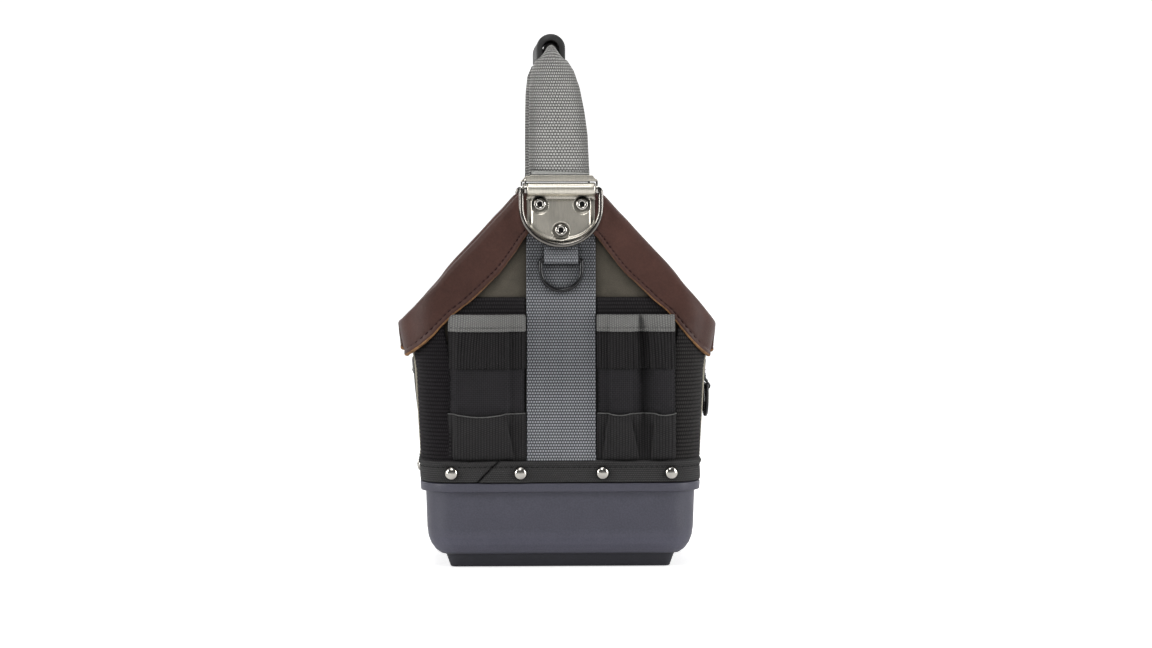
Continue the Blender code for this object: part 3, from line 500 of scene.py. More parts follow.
# ---------------------------------------------------------------- mesh helpers
def piece(name, verts, faces, mats, uvs, body="pouch", replaces=(), slot=None, face_mats=None,
          angle=60):
    """One object; uvs gives each point's sheet place in mm, angle the sharp-edge limit."""
    mats = mats if isinstance(mats, list) else [mats]
    mesh = bpy.data.meshes.new(name)
    mesh.from_pydata([(x * MM, y * MM, z * MM) for x, y, z in verts], [], faces)
    for mat in mats:
        mesh.materials.append(mat.material)
    if face_mats:
        mesh.polygons.foreach_set("material_index", face_mats)
    uv_map = mesh.uv_layers.new(name="UVMap")
    corners = [value * 0.01 for loop in mesh.loops for value in uvs[loop.vertex_index]]
    uv_map.data.foreach_set("uv", corners)
    work = bmesh.new()
    work.from_mesh(mesh)
    bmesh.ops.recalc_face_normals(work, faces=work.faces)
    work.to_mesh(mesh)
    work.free()
    mesh.shade_smooth()
    mesh.set_sharp_from_angle(angle=math.radians(angle))
    obj = bpy.data.objects.new(name, mesh)
    bpy.context.scene.collection.objects.link(obj)
    if body:
        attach(obj, body)
    if replaces:
        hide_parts(*replaces)
    slot or mats[0].slot
    return obj


def as_function(value):
    return value if callable(value) else (lambda *_: value)


def inset(values, edge):
    return [values[0] + edge, *values[1:-1], values[-1] - edge]


def sheet(name, s_range, z_range, face, thick, mat, step=(3.0, 3.0), s0=0.0, place=at,
          ring=False, **more):
    """A sheet with soft edges.

    face(s, z) is its outer face; place maps (s0 + s, out, z) to a point; step is the grid
    in s and z; a ring closes on itself. Heights may be functions of s."""
    s_from, s_to = s_range
    z_low, z_high, face, depth = map(as_function, (*z_range, face, thick))
    edge = 0.5 if callable(thick) else 0.35 * thick
    columns = span(s_from, s_to, step[0])
    columns = columns[:-1] if ring else inset(columns, edge)
    middle = (s_from + s_to) / 2
    rows = max(1, int(round((z_high(middle) - z_low(middle)) / step[1])))
    verts, uvs, faces, outer, inner = [], [], [], [], []

    def add(s, z, into):
        """Adds a point; into is 0 on the outer face and 1 on the inner."""
        verts.append(place(s0 + s, face(s, z) - depth(s, z) * into, z))
        uvs.append((s, z))
        return len(verts) - 1

    def heights(s):
        return inset(divide(z_low(s), z_high(s), rows), edge)

    for s in columns:
        outer.append([add(s, z, 0.0) for z in heights(s)])
        inner.append([add(s, z, 1.0) for z in heights(s)])
    count = len(columns)
    pairs = [(k, (k + 1) % count) for k in range(count if ring else count - 1)]
    for a, b in pairs:
        for j in range(rows):
            faces.append((outer[a][j], outer[b][j], outer[b][j + 1], outer[a][j + 1]))
            faces.append((inner[b][j], inner[a][j], inner[a][j + 1], inner[b][j + 1]))
    low = [add(s, z_low(s), 0.5) for s in columns]
    top = [add(s, z_high(s), 0.5) for s in columns]
    for a, b in pairs:
        faces.append((low[a], low[b], outer[b][0], outer[a][0]))
        faces.append((inner[a][0], inner[b][0], low[b], low[a]))
        faces.append((outer[a][-1], outer[b][-1], top[b], top[a]))
        faces.append((top[a], top[b], inner[b][-1], inner[a][-1]))
    for k, s_edge, turn in () if ring else ((0, s_from, 1), (-1, s_to, -1)):
        rim = [low[k], *(add(s_edge, z, 0.5) for z in heights(columns[k])), top[k]]
        front, back = ([line[0], *line, line[-1]] for line in (outer[k], inner[k]))
        for j in range(len(rim) - 1):
            for side, flip in ((front, turn), (back, -turn)):
                quad = dict.fromkeys((rim[j], side[j], side[j + 1], rim[j + 1]))
                faces.append(tuple(quad)[::flip])
    return piece(name, verts, faces, mat, uvs, **more)


def sweep(name, sections, mats, ring=False, uvs=None, **more):
    """Closed loops of points joined along a path, capped unless the path is a ring."""
    size, count = len(sections[0]), len(sections)
    if uvs is None:
        around = running(map(Vector, sections[0]))
        along = running(Vector(section[0]) for section in sections)
        uvs = [(u, v) for v in along for u in around]
    faces = []
    for k in range(count if ring else count - 1):
        a, b = k * size, ((k + 1) % count) * size
        for i in range(size):
            j = (i + 1) % size
            faces.append((a + i, a + j, b + j, b + i))
    if not ring:
        faces.append(tuple(range(size))[::-1])
        faces.append(tuple(range((count - 1) * size, count * size)))
    verts = [point for section in sections for point in section]
    return piece(name, verts, faces, mats, uvs, **more)


def lathe(name, profile, origin, axis, mat, steps, **more):
    """Turns a profile of (radius, height) round an axis."""
    axis = Vector(axis).normalized()
    across = axis.orthogonal().normalized()
    third = axis.cross(across)
    origin = Vector(origin)
    verts, faces, rings, uvs = [], [], [], []
    for (radius, height), run in zip(profile, running(profile)):
        start = len(verts)
        if radius < 1e-6:
            verts.append(origin + axis * height)
            uvs.append((0, run))
        else:
            for k in range(steps):
                turn = 2 * pi * k / steps
                spoke = (across * cos(turn) + third * sin(turn)) * radius
                verts.append(origin + axis * height + spoke)
                uvs.append((turn * radius, run))
        rings.append(range(start, len(verts)))
    for a, b in zip(rings, rings[1:]):
        for k in range(steps):
            j = (k + 1) % steps
            if len(a) == 1:
                faces.append((a[0], b[k], b[j]))
            elif len(b) == 1:
                faces.append((a[k], a[j], b[0]))
            else:
                faces.append((a[k], a[j], b[j], b[k]))
    return piece(name, verts, faces, mat, uvs, **more)


def fillet(corners, steps=5):
    """Rounds a closed outline's corners; each is (x, y, radius)."""
    outline = []
    for i, (x, y, radius) in enumerate(corners):
        if radius <= 0:
            outline.append((x, y))
            continue
        corner = Vector((x, y))
        before = Vector(corners[i - 1][:2]) - corner
        after = Vector(corners[(i + 1) % len(corners)][:2]) - corner
        room = min(before.length, after.length) * 0.49
        before.normalize()
        after.normalize()
        half = math.acos(clamp(before.dot(after), -1, 1)) / 2
        cut = min(radius / math.tan(half), room)
        middle = (before + after).normalized() * (cut * math.tan(half) / sin(half))
        centre = corner + middle
        start, end = corner + before * cut - centre, corner + after * cut - centre
        angle = start.angle_signed(end)
        for k in range(steps + 1):
            spoke = Matrix.Rotation(-angle * k / steps, 2) @ start
            outline.append((centre.x + spoke.x, centre.y + spoke.y))
    return outline


def tube(name, points, radius, mat, closed=True, sides=16, **more):
    """Round wire along a line; the radius may be a function of the share run."""
    points = [Vector(point) for point in points]
    radius = as_function(radius)
    last = len(points) - 1
    sections, side = [], None
    for k, point in enumerate(points):
        if closed:
            along = (points[(k + 1) % (last + 1)] - points[k - 1]).normalized()
        else:
            along = (points[min(k + 1, last)] - points[max(k - 1, 0)]).normalized()
        if side is None:
            side = along.orthogonal().normalized()
        side = (side - along * side.dot(along)).normalized()
        other = along.cross(side)
        turns = [2 * pi * i / sides for i in range(sides)]
        size = radius(k / last)
        sections.append([point + (side * cos(a) + other * sin(a)) * size for a in turns])
    return sweep(name, sections, mat, ring=closed, **more)


def stitches(name, line, total, mat, size, place=at, lift=0.15, **more):
    """A row of short threads along line(run) -> place's arguments; size: length, gap, radius."""
    length, gap, radius = size
    verts, faces, uvs = [], [], []
    start = gap
    while start + length < total:
        first = len(verts)
        for k in range(6):
            share = k / 5
            run = start + length * share
            s, out, z, *rest = line(run)
            arch = sin(pi * share)
            rise = lift + radius * 1.1 * arch - radius * 0.8
            centre = Vector(place(s, out + rise, z, *rest))
            here = Vector(place(s, out, z, *rest))
            along = (Vector(place(*line(run + 0.2))) - here).normalized()
            up = (Vector(place(s, out + 1.0, z, *rest)) - here).normalized()
            side = along.cross(up).normalized()
            width = radius * (0.55 + 0.45 * arch)
            for i in range(6):
                turn = 2 * pi * i / 6
                verts.append(centre + side * (cos(turn) * width) + up * (sin(turn) * width * 0.8))
                uvs.append((i, start + share))
        for a in range(first, first + 30, 6):
            for i in range(6):
                j = (i + 1) % 6
                faces.append((a + i, a + j, a + 6 + j, a + 6 + i))
        faces.append(tuple(range(first, first + 6))[::-1])
        faces.append(tuple(range(first + 30, first + 36)))
        start += length + gap
    return piece(name, verts, faces, mat, uvs, **more)


def axes(origin, across, up, outward):
    """A place function on a tilted plane: (x, out, rise) to a point."""
    return lambda x, out, rise: origin + across * x + up * rise + outward * out


# ---------------------------------------------------------------- base tray
TRAY_SECTION = fillet([  # out, z, corner radius
    (-23.0, 0.0, 0.0), (-19.6, 0.0, 1.2), (-16.4, 8.9, 0.5), (-15.6, 9.7, 0.4),
    (-12.4, 10.3, 0.8), (-8.6, 13.0, 4.0), (-5.2, 17.6, 7.0), (-3.1, 23.0, 8.0),
    (-2.2, 30.0, 8.0), (-1.3, 56.7, 0.5), (2.4, 57.2, 0.9), (2.8, 63.4, 0.8),
    (-3.75, 63.4, 0.2), (-3.75, 77.0, 0.9), (-6.6, 77.0, 0.9), (-6.6, 60.0, 2.0),
    (-4.6, 53.0, 2.0), (-5.4, 30.0, 6.0), (-8.2, 20.0, 6.0), (-13.8, 14.0, 5.0),
    (-18.4, 10.0, 3.0), (-21.0, 4.0, 0.0),
], steps=4)


def tray_stations():
    """Places round the wall, closer in the corners; every second quarter is mirrored."""
    quarter = [FLAT_X * k / 8 for k in range(8)]
    quarter += [FLAT_X + ARC * k / 20 for k in range(20)]
    quarter += [CORNER_END + FLAT_Y * k / 6 for k in range(6)]
    mirrored = [QUARTER - s for s in [QUARTER] + quarter[:0:-1]]
    return [k * QUARTER + s for k in range(4) for s in (mirrored if k % 2 else quarter)]


stations = tray_stations()
sweep(
    "base_tray_shell", [[(*path(s, out), z) for s in stations] for out, z in TRAY_SECTION],
    BASE, uvs=[(s, k * 3.0) for k in range(len(TRAY_SECTION)) for s in stations],
    replaces=("base_tray",), angle=35,
)

# ---------------------------------------------------------------- foot band
BAND_STITCH_Z = 75.2


def band_top(s):
    return 79.9 + 1.1 * wobble(s, 3.0, 20.0, 4.0)


def band_face(s, z):
    """Rolled upper edge, two grooves and a slanting lapped end on the front left."""
    relief = 0.9 * hump(z, 78.4, 1.7) - 0.55 * hump(z, BAND_STITCH_Z, 0.8)
    relief -= 0.3 * hump(z, 65.0, 0.8)
    if -90 < s < 0:
        past = s + 61.5 - 0.98 * (z - 63.0)
        relief += 1.2 * smooth(past / 0.9) * (1 - smooth((s + 34) / 20))
        relief -= 1.3 * hump(past, -0.7, 0.9)
    return 2.9 + relief + 0.55 * wobble(s, z, 14.0, 1.0)


def band_stitch(run):
    s = run - PERIMETER / 2
    return s, band_face(s, BAND_STITCH_Z), BAND_STITCH_Z


sheet("foot_band", (-PERIMETER / 2, PERIMETER / 2), (63.9, band_top), band_face, 2.4, FOOT_WEB,
      step=(0.7, 0.75), ring=True, replaces=("base_band",))
stitches("foot_band_stitches", band_stitch, PERIMETER, BLACK_THREAD, size=(2.4, 1.4, 0.36))


# ---------------------------------------------------------------- canvas panels
def canvas_face(s, z):
    return 0.25 * wobble(s, z, 26.0, 7.0) - 0.1


for side, s0 in FACES:
    sheet(f"{side}_canvas_panel", (-CORNER_END, CORNER_END), (WALL_FOOT_Z, gable), canvas_face,
          3.3, CANVAS, step=(3.4, 4.0), s0=s0, replaces=(f"{side}_panel",))
for side, s0 in SIDES:
    sheet(f"{side}_canvas_side", (-FLAT_Y + 0.2, FLAT_Y - 0.2), (WALL_FOOT_Z, SIDE_TOP_Z),
          canvas_face, 3.3, CANVAS, s0=s0, replaces=(f"{side}_side_panel",))

# ---------------------------------------------------------------- leather trims
TRIM_GAP, TRIM_T = 0.9, 2.4
DEPTH_OUT, DEPTH_IN = 21.0, 18.0  # how far each leaf reaches below the wall's edge
GROOVE_DEPTH, INNER_STITCH_DEPTH = 17.4, 14.5
OUTER_END, FOLD_END = 15, 28  # section points up to which the outer leaf and the fold run
RAW_EDGES = (0, 1, 2, 32, 33, 34, 41)  # section faces cut through the hide


def trim_section():
    """Section of the folded hide, as (depth below the edge, out), from the outer cut edge."""
    near, far = TRIM_GAP, TRIM_GAP + TRIM_T
    in_near, in_far = -PANEL_T - TRIM_GAP, -PANEL_T - TRIM_GAP - TRIM_T
    middle, reach = (far + in_far) / 2, (far - in_far) / 2
    leaf = (19.0, 18.2, 17.4, 16.6, 15.8, 15.0, 13.0, 10.5, 8.0, 5.5, 3.0)
    return [
        (DEPTH_OUT, near + 0.3), (DEPTH_OUT + 0.25, (near + far) / 2),
        (DEPTH_OUT, far - 0.45), (DEPTH_OUT - 0.6, far),
        *((depth, far) for depth in leaf),
        *((0.4 - 4.2 * sin(a), middle + reach * cos(a)) for a in divide(0.0, pi, 12)),
        *((depth, in_far) for depth in (3.0, 7.0, 11.0, 15.0)),
        (DEPTH_IN - 0.5, in_far), (DEPTH_IN, in_far + 0.5), (DEPTH_IN, in_near - 0.3),
        (DEPTH_IN - 1.0, in_near), (9.0, in_near), (0.0, in_near), (-0.7, middle),
        (0.0, near), (9.0, near), (DEPTH_OUT - 1.0, near),
    ]


def edge_normals(points):
    """Mitred normals of an edge line, pointing into the wall."""
    normals = []
    for a, b in zip(points, points[1:]):
        along = Vector((b[0] - a[0], b[1] - a[1])).normalized()
        normals.append(Vector((along.y, -along.x)))
    mitred = [(a + b) / (1 + a.dot(b)) for a, b in zip(normals, normals[1:])]
    return [normals[0], *mitred, normals[-1]]


def resample(points, step=2.2):
    line = [points[0]]
    for a, b in zip(points, points[1:]):
        count = max(1, int(round(math.dist(a, b) / step)))
        line += list(zip(divide(a[0], b[0], count), divide(a[1], b[1], count)))[1:]
    return line


def soften(points):
    """Rounds the edge line's corners a little, as thick hide does."""
    for _ in range(3):
        middle = [
            ((a[0] + 2 * b[0] + c[0]) / 4, (a[1] + 2 * b[1] + c[1]) / 4)
            for a, b, c in zip(points, points[1:], points[2:])
        ]
        points = [points[0], *middle, points[-1]]
    return points


def gable_sway(flare, droop, turn):
    """How far a gable trim's (left, right) tips swing outwards and hang down."""
    def sway(s):
        k = 0 if s < 0 else 1
        swing = turn * math.copysign(flare[k] * smooth((abs(s) - 55.0) / 55.0), s)
        return swing, droop[k] * smooth((abs(s) - 82.0) / 28.0)
    return sway


def side_sway(sign, front, back):
    """The same for a side trim's ends, each (flare, droop), so that they meet the gables."""
    def sway(s):
        flare, droop = front if -sign * s > 0 else back
        share = smooth((abs(s) - 4.0) / 44.0)
        return sign * flare * share, droop * share
    return sway


def leather_trim(side, s0, line, seed, sway, slim, end_mat):
    """Hide folded over the wall's edge.

    slim holds two tables, for s below and above 0, of how far the outer leaf is cut back."""
    normals = edge_normals(line)
    section = trim_section()
    run = running(line)

    def cut_back(s):
        return table(abs(s), slim[0 if s < 0 else 1])

    def hang(fall, depth):
        return fall * (0.4 + 0.6 * clamp(depth / DEPTH_OUT))

    def surface(k, depth, out, r):
        """Relief of the hide at a section point."""
        if k < OUTER_END:
            lift = 0.35 * wobble(r, depth * 1.4, 13.0, seed + 9)
            lift += 0.45 * smooth((depth - 16.5) / 4.5)
            return out + lift - 0.5 * hump(depth, GROOVE_DEPTH, 0.55)
        if k < FOLD_END:
            around = sin(pi * (k - OUTER_END) / (FOLD_END - OUTER_END))
            return out + 0.3 * wobble(r, k * 1.3, 12.0, seed + 5) * around
        return out

    loops = []
    for (s, z), normal, r in zip(line, normals, run):
        wave = 0.55 * wobble(r, seed, 17.0, seed) + 0.3 * wobble(r, seed, 5.0, seed + 3)
        swing, fall = sway(s)
        loop = []
        for k, (depth, out) in enumerate(section):
            outside = out > -1
            cut = smooth((depth - 12.0) / 9.0) if outside else 0.0
            deep = depth + cut * (wave - cut_back(s))
            px, py, pz = at(s0 + s + normal.x * deep, surface(k, depth, out, r),
                            z + normal.y * deep)
            px += swing * (0.2 + 0.8 * clamp((out + 6.8) / 10.1))
            loop.append((px, py, pz - (hang(fall, depth) if outside else 0.0)))
        loops.append(loop)
    face_mats = [1 if i in RAW_EDGES else 0 for i in range(len(section))] * (len(line) - 1)
    sweep(f"{side}_leather", loops, [LEATHER, LEATHER_EDGE],
          uvs=[(r, depth) for r in run for depth, _ in section],
          face_mats=face_mats + [end_mat, end_mat], replaces=(f"{side}_leather_trim",), angle=75)

    def outer_stitch(t, depth=GROOVE_DEPTH):
        t = clamp(t, 0, run[-1] - 1e-3)
        k = bisect_left(run, t, 1) - 1
        share = (t - run[k]) / (run[k + 1] - run[k])
        s = line[k][0] * (1 - share) + line[k + 1][0] * share
        z = line[k][1] * (1 - share) + line[k + 1][1] * share
        normal = normals[k] * (1 - share) + normals[k + 1] * share
        depth -= cut_back(s) * smooth((depth - 12.0) / 9.0)
        swing, fall = sway(s)
        low = hang(fall, depth) if depth > 15.0 else 0.0
        out = TRIM_GAP + TRIM_T - 0.25
        return s0 + s + normal.x * depth, out, z + normal.y * depth - low, swing

    def inner_stitch(t):
        s, _, z, swing = outer_stitch(t, INNER_STITCH_DEPTH)
        return s, -PANEL_T - TRIM_GAP - TRIM_T - 0.1, z, swing * 0.2

    def swung(s, out, z, swing):
        x, y, z = at(s, out, z)
        return x + swing, y, z

    stitches(f"{side}_leather_stitches", outer_stitch, run[-1], DARK_THREAD,
             size=(2.4, 1.2, 0.5), place=swung, lift=0.1)
    stitches(f"{side}_leather_inner_stitches", inner_stitch, run[-1], DARK_THREAD,
             size=(2.4, 1.2, 0.45), place=swung, lift=-0.1)


# |s|, cut back
TIP_LEFT = [(0.0, 0.0), (50.0, 0.0), (66.0, 0.5), (82.0, 0.4), (98.0, -0.6), (112.0, -1.0)]
TIP_RIGHT = [
    (0.0, 0.0), (44.0, 0.2), (58.0, 1.4), (70.0, 2.6),
    (80.0, 2.8), (92.0, 1.2), (104.0, 0.0), (112.0, 0.0),
]
TUCK = [(0.0, 0.0), (22.0, 0.4), (36.0, 2.4), (48.0, 5.4)]

half = [(s, gable(s)) for s in [PEAK_HALF, 44.0, 60.0, *divide(FLAT_X, CORNER_END, 6)]]
gable_line = resample([(-s, z) for s, z in reversed(half)] + half)
gable_line = [gable_line[0], *soften(gable_line[1:-1]), gable_line[-1]]
side_line = resample([(-FLAT_Y + 0.5, SIDE_TOP_Z), (FLAT_Y - 0.5, SIDE_TOP_Z)])
for (side, s0), line, seed, sway, slim, end_mat in (
    (FACES[0], gable_line, 1.0, gable_sway(flare=(6.0, 2.2), droop=(3.6, 5.6), turn=1),
     (TIP_LEFT, TIP_RIGHT), 1),
    (FACES[1], gable_line, 2.0, gable_sway(flare=(2.0, 2.0), droop=(2.5, 2.5), turn=-1),
     (TIP_LEFT, TIP_LEFT), 1),
    (SIDES[0], side_line, 3.0, side_sway(1, front=(2.2, 5.6), back=(2.0, 2.5)), (TUCK, TUCK), 0),
    (SIDES[1], side_line, 4.0, side_sway(-1, front=(6.0, 3.6), back=(2.0, 2.5)), (TUCK, TUCK), 0),
):
    leather_trim(side, s0, line, seed, sway, slim, end_mat)


# ---------------------------------------------------------------- webbing on the shell
def centre_face(s, z):
    inside = 1 - smooth((abs(s) - 23.6) / 1.0)
    edge = 0.25 * hump(abs(s), 24.4, 0.7)
    return 2.3 + weave(s, z, 0.85) * inside + edge + 0.2 * wobble(s, z, 20.0, 2.0)


def tier_face(s, z):
    return 1.6 + ribs(z, 2.8, 0.3) + 0.25 * wobble(s, z, 20.0, 6.0)


def corner_webbing(side, tag, s0, turn):
    """Corner tape, tool tier and piping of one half; turn is the way s runs towards it."""
    def face(s, z):
        relief = ribs(z, 2.8, 0.8) + 0.45 * smooth((z - 146.6) / 0.8)
        relief += 0.3 * wobble(s, z, 18.0, 5.0)
        return (2.2 + relief) * (1 - 0.75 * smooth((z - gable(s0 + s) + 22.0) / 6.0))

    name = f"{side}_{tag}"
    sheet(name + "_corner_tape", sorted((turn * 77.0, turn * (CORNER_END - 2.4))),
          (78.8, lambda s: gable(s0 + s) - 11.0), face, 1.9, CORNER_WEB[tag], step=(1.6, 0.46),
          s0=s0, replaces=(name + "_corner_webbing",))
    sheet(name + "_tool_tier", sorted((turn * 26.0, turn * 74.0)), (150.0, 199.0), tier_face,
          1.3, TIER_WEB, step=(2.5, 0.46), s0=s0)
    piping = [at(s0 + turn * (CORNER_END - 0.6), 1.5, z) for z in span(82.0, 168.0, 2.0)]
    tube(name + "_corner_piping", piping, lambda share: 1.0 + 0.5 * share, PIPING,
         closed=False, sides=10)


for side, s0 in FACES:
    sheet(f"{side}_centre_webbing_tape", (-25.4, 25.4), (FOOT_Z, CENTRE_TOP_Z), centre_face, 1.9,
          CENTRE_WEB, step=(0.5, 0.42), s0=s0, replaces=(f"{side}_centre_webbing",))
    facing = 1 if side == "front" else -1
    corner_webbing(side, "left", s0, -facing)
    corner_webbing(side, "right", s0, facing)

# ---------------------------------------------------------------- outside pockets
POCKET_TOP = 185.6
BINDING_LOW, BINDING_H = POCKET_TOP - 11.5, 11.5
BINDING_SEAM = 2.9  # stitch line above the binding's lower edge
BELLOW = [  # z, share of the full depth
    (79.0, 0.02), (84.0, 0.26), (95.0, 0.56), (114.0, 0.80), (147.0, 0.93), (186.5, 1.0),
]


def bellow(z):
    return table(z, BELLOW)


def upright(s0):
    """Places a sheet so that its sides stay upright while the body flares behind it."""
    def place(s, out, z):
        share = smooth((abs(s) - 40.0) / (FLAT_X - 40.0))
        return at(s0 + s - math.copysign(widen(z) * share, s), out, z)
    return place


CLOTH_K = 0.01  # 1 mm of sheet is 10 mm of simulated cloth, which settles better
CLOTH_FRAMES = 30
CLOTH_LET_OUT = 0.035
CLOTH_PUSH = 1.2  # from inside, as gravity


def cloth_relief(name, s_range, z_range, face, seams, cap=1.7, step=1.8):
    """A short cloth run on a sewn sheet: let out a little, pushed from inside and held at its
    seams. Returns what that adds to the drawn form as a function of (s, z), within cap."""
    (s_from, s_to), (z_low, z_high) = s_range, z_range
    scene = bpy.context.scene
    columns = int(round((s_to - s_from) / step))
    rows = int(round((z_high - z_low) / step))
    width = columns + 1
    grid = [(s, z) for z in divide(z_low, z_high, rows) for s in divide(s_from, s_to, columns)]
    start = [-face(s, z) * CLOTH_K for s, z in grid]
    mesh = bpy.data.meshes.new(name)
    corners = [j * width + i for j in range(rows) for i in range(columns)]
    mesh.from_pydata([(s * CLOTH_K, y, z * CLOTH_K) for (s, z), y in zip(grid, start)], [],
                     [(k, k + 1, k + width + 1, k + width) for k in corners])
    obj = bpy.data.objects.new(name, mesh)
    scene.collection.objects.link(obj)
    held = [
        k for k, (s, z) in enumerate(grid)
        if z < z_low + step * 0.5 or any(abs(s - seam) < step * 0.51 for seam in seams)
    ]
    obj.vertex_groups.new(name="held").add(held, 1.0, "REPLACE")
    cloth = obj.modifiers.new("cloth", "CLOTH")
    settings = cloth.settings
    settings.quality = 6
    settings.mass = 0.3
    settings.air_damping = 2.0
    settings.tension_stiffness = settings.compression_stiffness = 12.0
    settings.shear_stiffness = 4.0
    settings.bending_stiffness = 0.35
    settings.vertex_group_mass = "held"
    settings.shrink_min = settings.shrink_max = -CLOTH_LET_OUT
    cloth.point_cache.frame_start, cloth.point_cache.frame_end = 1, CLOTH_FRAMES
    gravity, now = scene.gravity.copy(), scene.frame_current
    scene.gravity = (0.0, -CLOTH_PUSH, 0.0)
    for number in range(1, CLOTH_FRAMES + 1):
        scene.frame_set(number)
    settled = obj.evaluated_get(bpy.context.evaluated_depsgraph_get()).data.vertices
    moved = [(y - vert.co.y) / CLOTH_K for vert, y in zip(settled, start)]
    bpy.data.objects.remove(obj, do_unlink=True)
    bpy.data.meshes.remove(mesh)
    scene.gravity = gravity
    scene.frame_set(now)
    field = [cap * math.tanh(0.55 * value / cap) for value in moved]

    def relief(s, z):
        x = clamp((s - s_from) / (s_to - s_from)) * columns
        y = clamp((z - z_low) / (z_high - z_low)) * rows
        i, j = min(int(x), columns - 1), min(int(y), rows - 1)
        x, y = x - i, y - j
        k = j * width + i
        low = field[k] * (1 - x) + field[k + 1] * x
        high = field[k + width] * (1 - x) + field[k + width + 1] * x
        return low * (1 - y) + high * y
    return relief


# shape: (share across, share of depth) rows. front: the flat front of the lower pocket as shares
# of the lobe's width, start and end at the hem, then how far each moves towards the foot.
Lobe = namedtuple("Lobe", "start end depth shape front", defaults=(None,))


class Pocket:
    """An outside pocket of one or more lobes; only the front ones have a lower pocket."""

    def __init__(self, name, lobes, s0, seed):
        self.name, self.lobes, self.seed = name, lobes, seed
        self.place = upright(s0)
        self.start, self.end = lobes[0].start, lobes[-1].end
        seams = [self.end, *(lobe.start for lobe in lobes)]
        self.relief = cloth_relief(name + "_cloth", (self.start, self.end), (FOOT_Z, POCKET_TOP),
                                   self.drawn, seams)

    def lobe_at(self, s):
        """The lobe at s and the share across it."""
        for lobe in self.lobes:
            if lobe.start <= s <= lobe.end:
                return lobe, (s - lobe.start) / (lobe.end - lobe.start)
        return None, 0.0

    def drawn(self, s, z):
        lobe, share = self.lobe_at(s)
        if lobe is None:
            return 0.9
        bulge = table(share, lobe.shape, smooth)
        calm = min(1.0, 8 * share, 8 * (1 - share)) * 0.3 * smooth((z - 168.0) / 12.0)
        bulge += (0.86 - bulge) * calm
        crease = 0.4 * wobble(s, z / 2.2, 11.0, self.seed)
        crease += 0.15 * wobble(s, z, 6.0, self.seed + 4)
        crease *= min(1.0, 2 * bulge) * smooth((z - 80) / 12)
        return 0.9 + lobe.depth * bulge * bellow(z) + crease

    def face(self, s, z):
        return max(0.7, self.drawn(s, z) + self.relief(s, z) * smooth((z - 82.0) / 8.0))

    def on_front(self, s, z):
        """1 on the flat front of the lower pocket, 0 in its folded gussets."""
        fall = (114.0 - z) / 34.0
        flat = 0.0
        for lobe in self.lobes:
            width = lobe.end - lobe.start
            left, right, left_move, right_move = lobe.front
            past_left = s - lobe.start - width * (left + left_move * fall)
            past_right = s - lobe.start - width * (right + right_move * fall)
            inside = smooth((past_left + 0.55) / 1.1) * (1 - smooth((past_right + 0.55) / 1.1))
            flat = max(flat, inside)
        return flat

    def lower_face(self, s, z):
        deep = smooth((115.5 - z) / 15.0)
        tuck = smooth((z - 79.3) / 4.2)
        face, front = self.face(s, z), self.on_front(s, z)
        gusset = (face + 1.25) * (1 - 0.74 * deep) + 2.1 * 0.74 * deep
        lobe, share = self.lobe_at(s)
        full = 0.9 + lobe.depth * bellow(z) * (0.78 + 0.12 * sin(pi * share))
        flat = max(face, full) * 0.55 + face * 0.45 + 1.5 + 1.3 * deep
        flat = max(flat, gusset + 0.9)
        mixed = gusset * (1 - front) + flat * front
        return 1.4 + (mixed - 1.4) * tuck + ribs(s, 2.1, 0.30 - 0.10 * front) * tuck

    def lower_top(self, s):
        sag = 0.0
        for lobe in self.lobes:
            width = lobe.end - lobe.start
            share = (s - lobe.start) / width
            left, right = lobe.front[:2]
            if left <= share <= right:
                deepest = 2.3 if width > 40 else 1.2
                sag = -deepest * sin(pi * (share - left) / (right - left)) ** 0.8
        return 114.6 + sag + 0.25 * wobble(s, 2.0, 9.0, self.seed + 6)

    def nylon_face(self, s, z):
        """The face, drawn back behind the lower pocket."""
        free = smooth((z - 106.0) / 8.0)
        face = self.face(s, z)
        behind = min(face, max(0.6, self.lower_face(s, z) - 1.5))
        return face * free + behind * (1 - free)

    def band_face(self, s, z):
        return self.face(s, z) + 1.15 + ribs(s, 2.1, 0.6) + 0.12 * wobble(s, z, 8.0, self.seed + 1)

    def binding_face(self, s, z):
        rise = z - BINDING_LOW
        hem = 0.5 * hump(rise, 1.2, 0.8) - 0.35 * hump(rise, BINDING_SEAM, 0.6)
        hem += 0.12 * wobble(s, z, 5.0, self.seed + 2)
        return self.face(s, z) + 2.25 + hem - 1.0 * smooth((rise / BINDING_H - 0.9) / 0.1)

    def sheet(self, tag, z_range, face, thick, mat, margin=0.0, **more):
        sheet(f"{self.name}_{tag}", (self.start + margin, self.end - margin), z_range, face,
              thick, mat, place=self.place, **more)

    def build_lower(self):
        self.sheet("lower_ribs", (FOOT_Z, self.lower_top), self.lower_face, 1.1, LOWER_WEB,
                   step=(0.44, 1.3), replaces=(self.name + "_lower_pocket",))
        hem = []
        for s in span(self.start + 0.6, self.end - 0.6, 0.9):
            top = self.lower_top(s)
            hem.append(self.place(s, self.lower_face(s, top) - 0.05, top - 0.15))
        tube(self.name + "_lower_hem", hem, 0.48, GREY_THREAD, closed=False, sides=8)

    def build_binding(self, replaces):
        """Tape folded over the mouth, with its stitches."""
        self.sheet("binding", (BINDING_LOW, POCKET_TOP + 1.0), self.binding_face,
                   lambda s, z: 1.1 + 2.6 * smooth((z - POCKET_TOP + 1.2) / 1.4), BINDING,
                   step=(1.2, 0.7), replaces=replaces)
        self.sheet("binding_inside", (BINDING_LOW, POCKET_TOP + 0.6),
                   lambda s, z: self.face(s, z) - 1.25, 0.9, BINDING, margin=1, step=(1.6, 1.6))

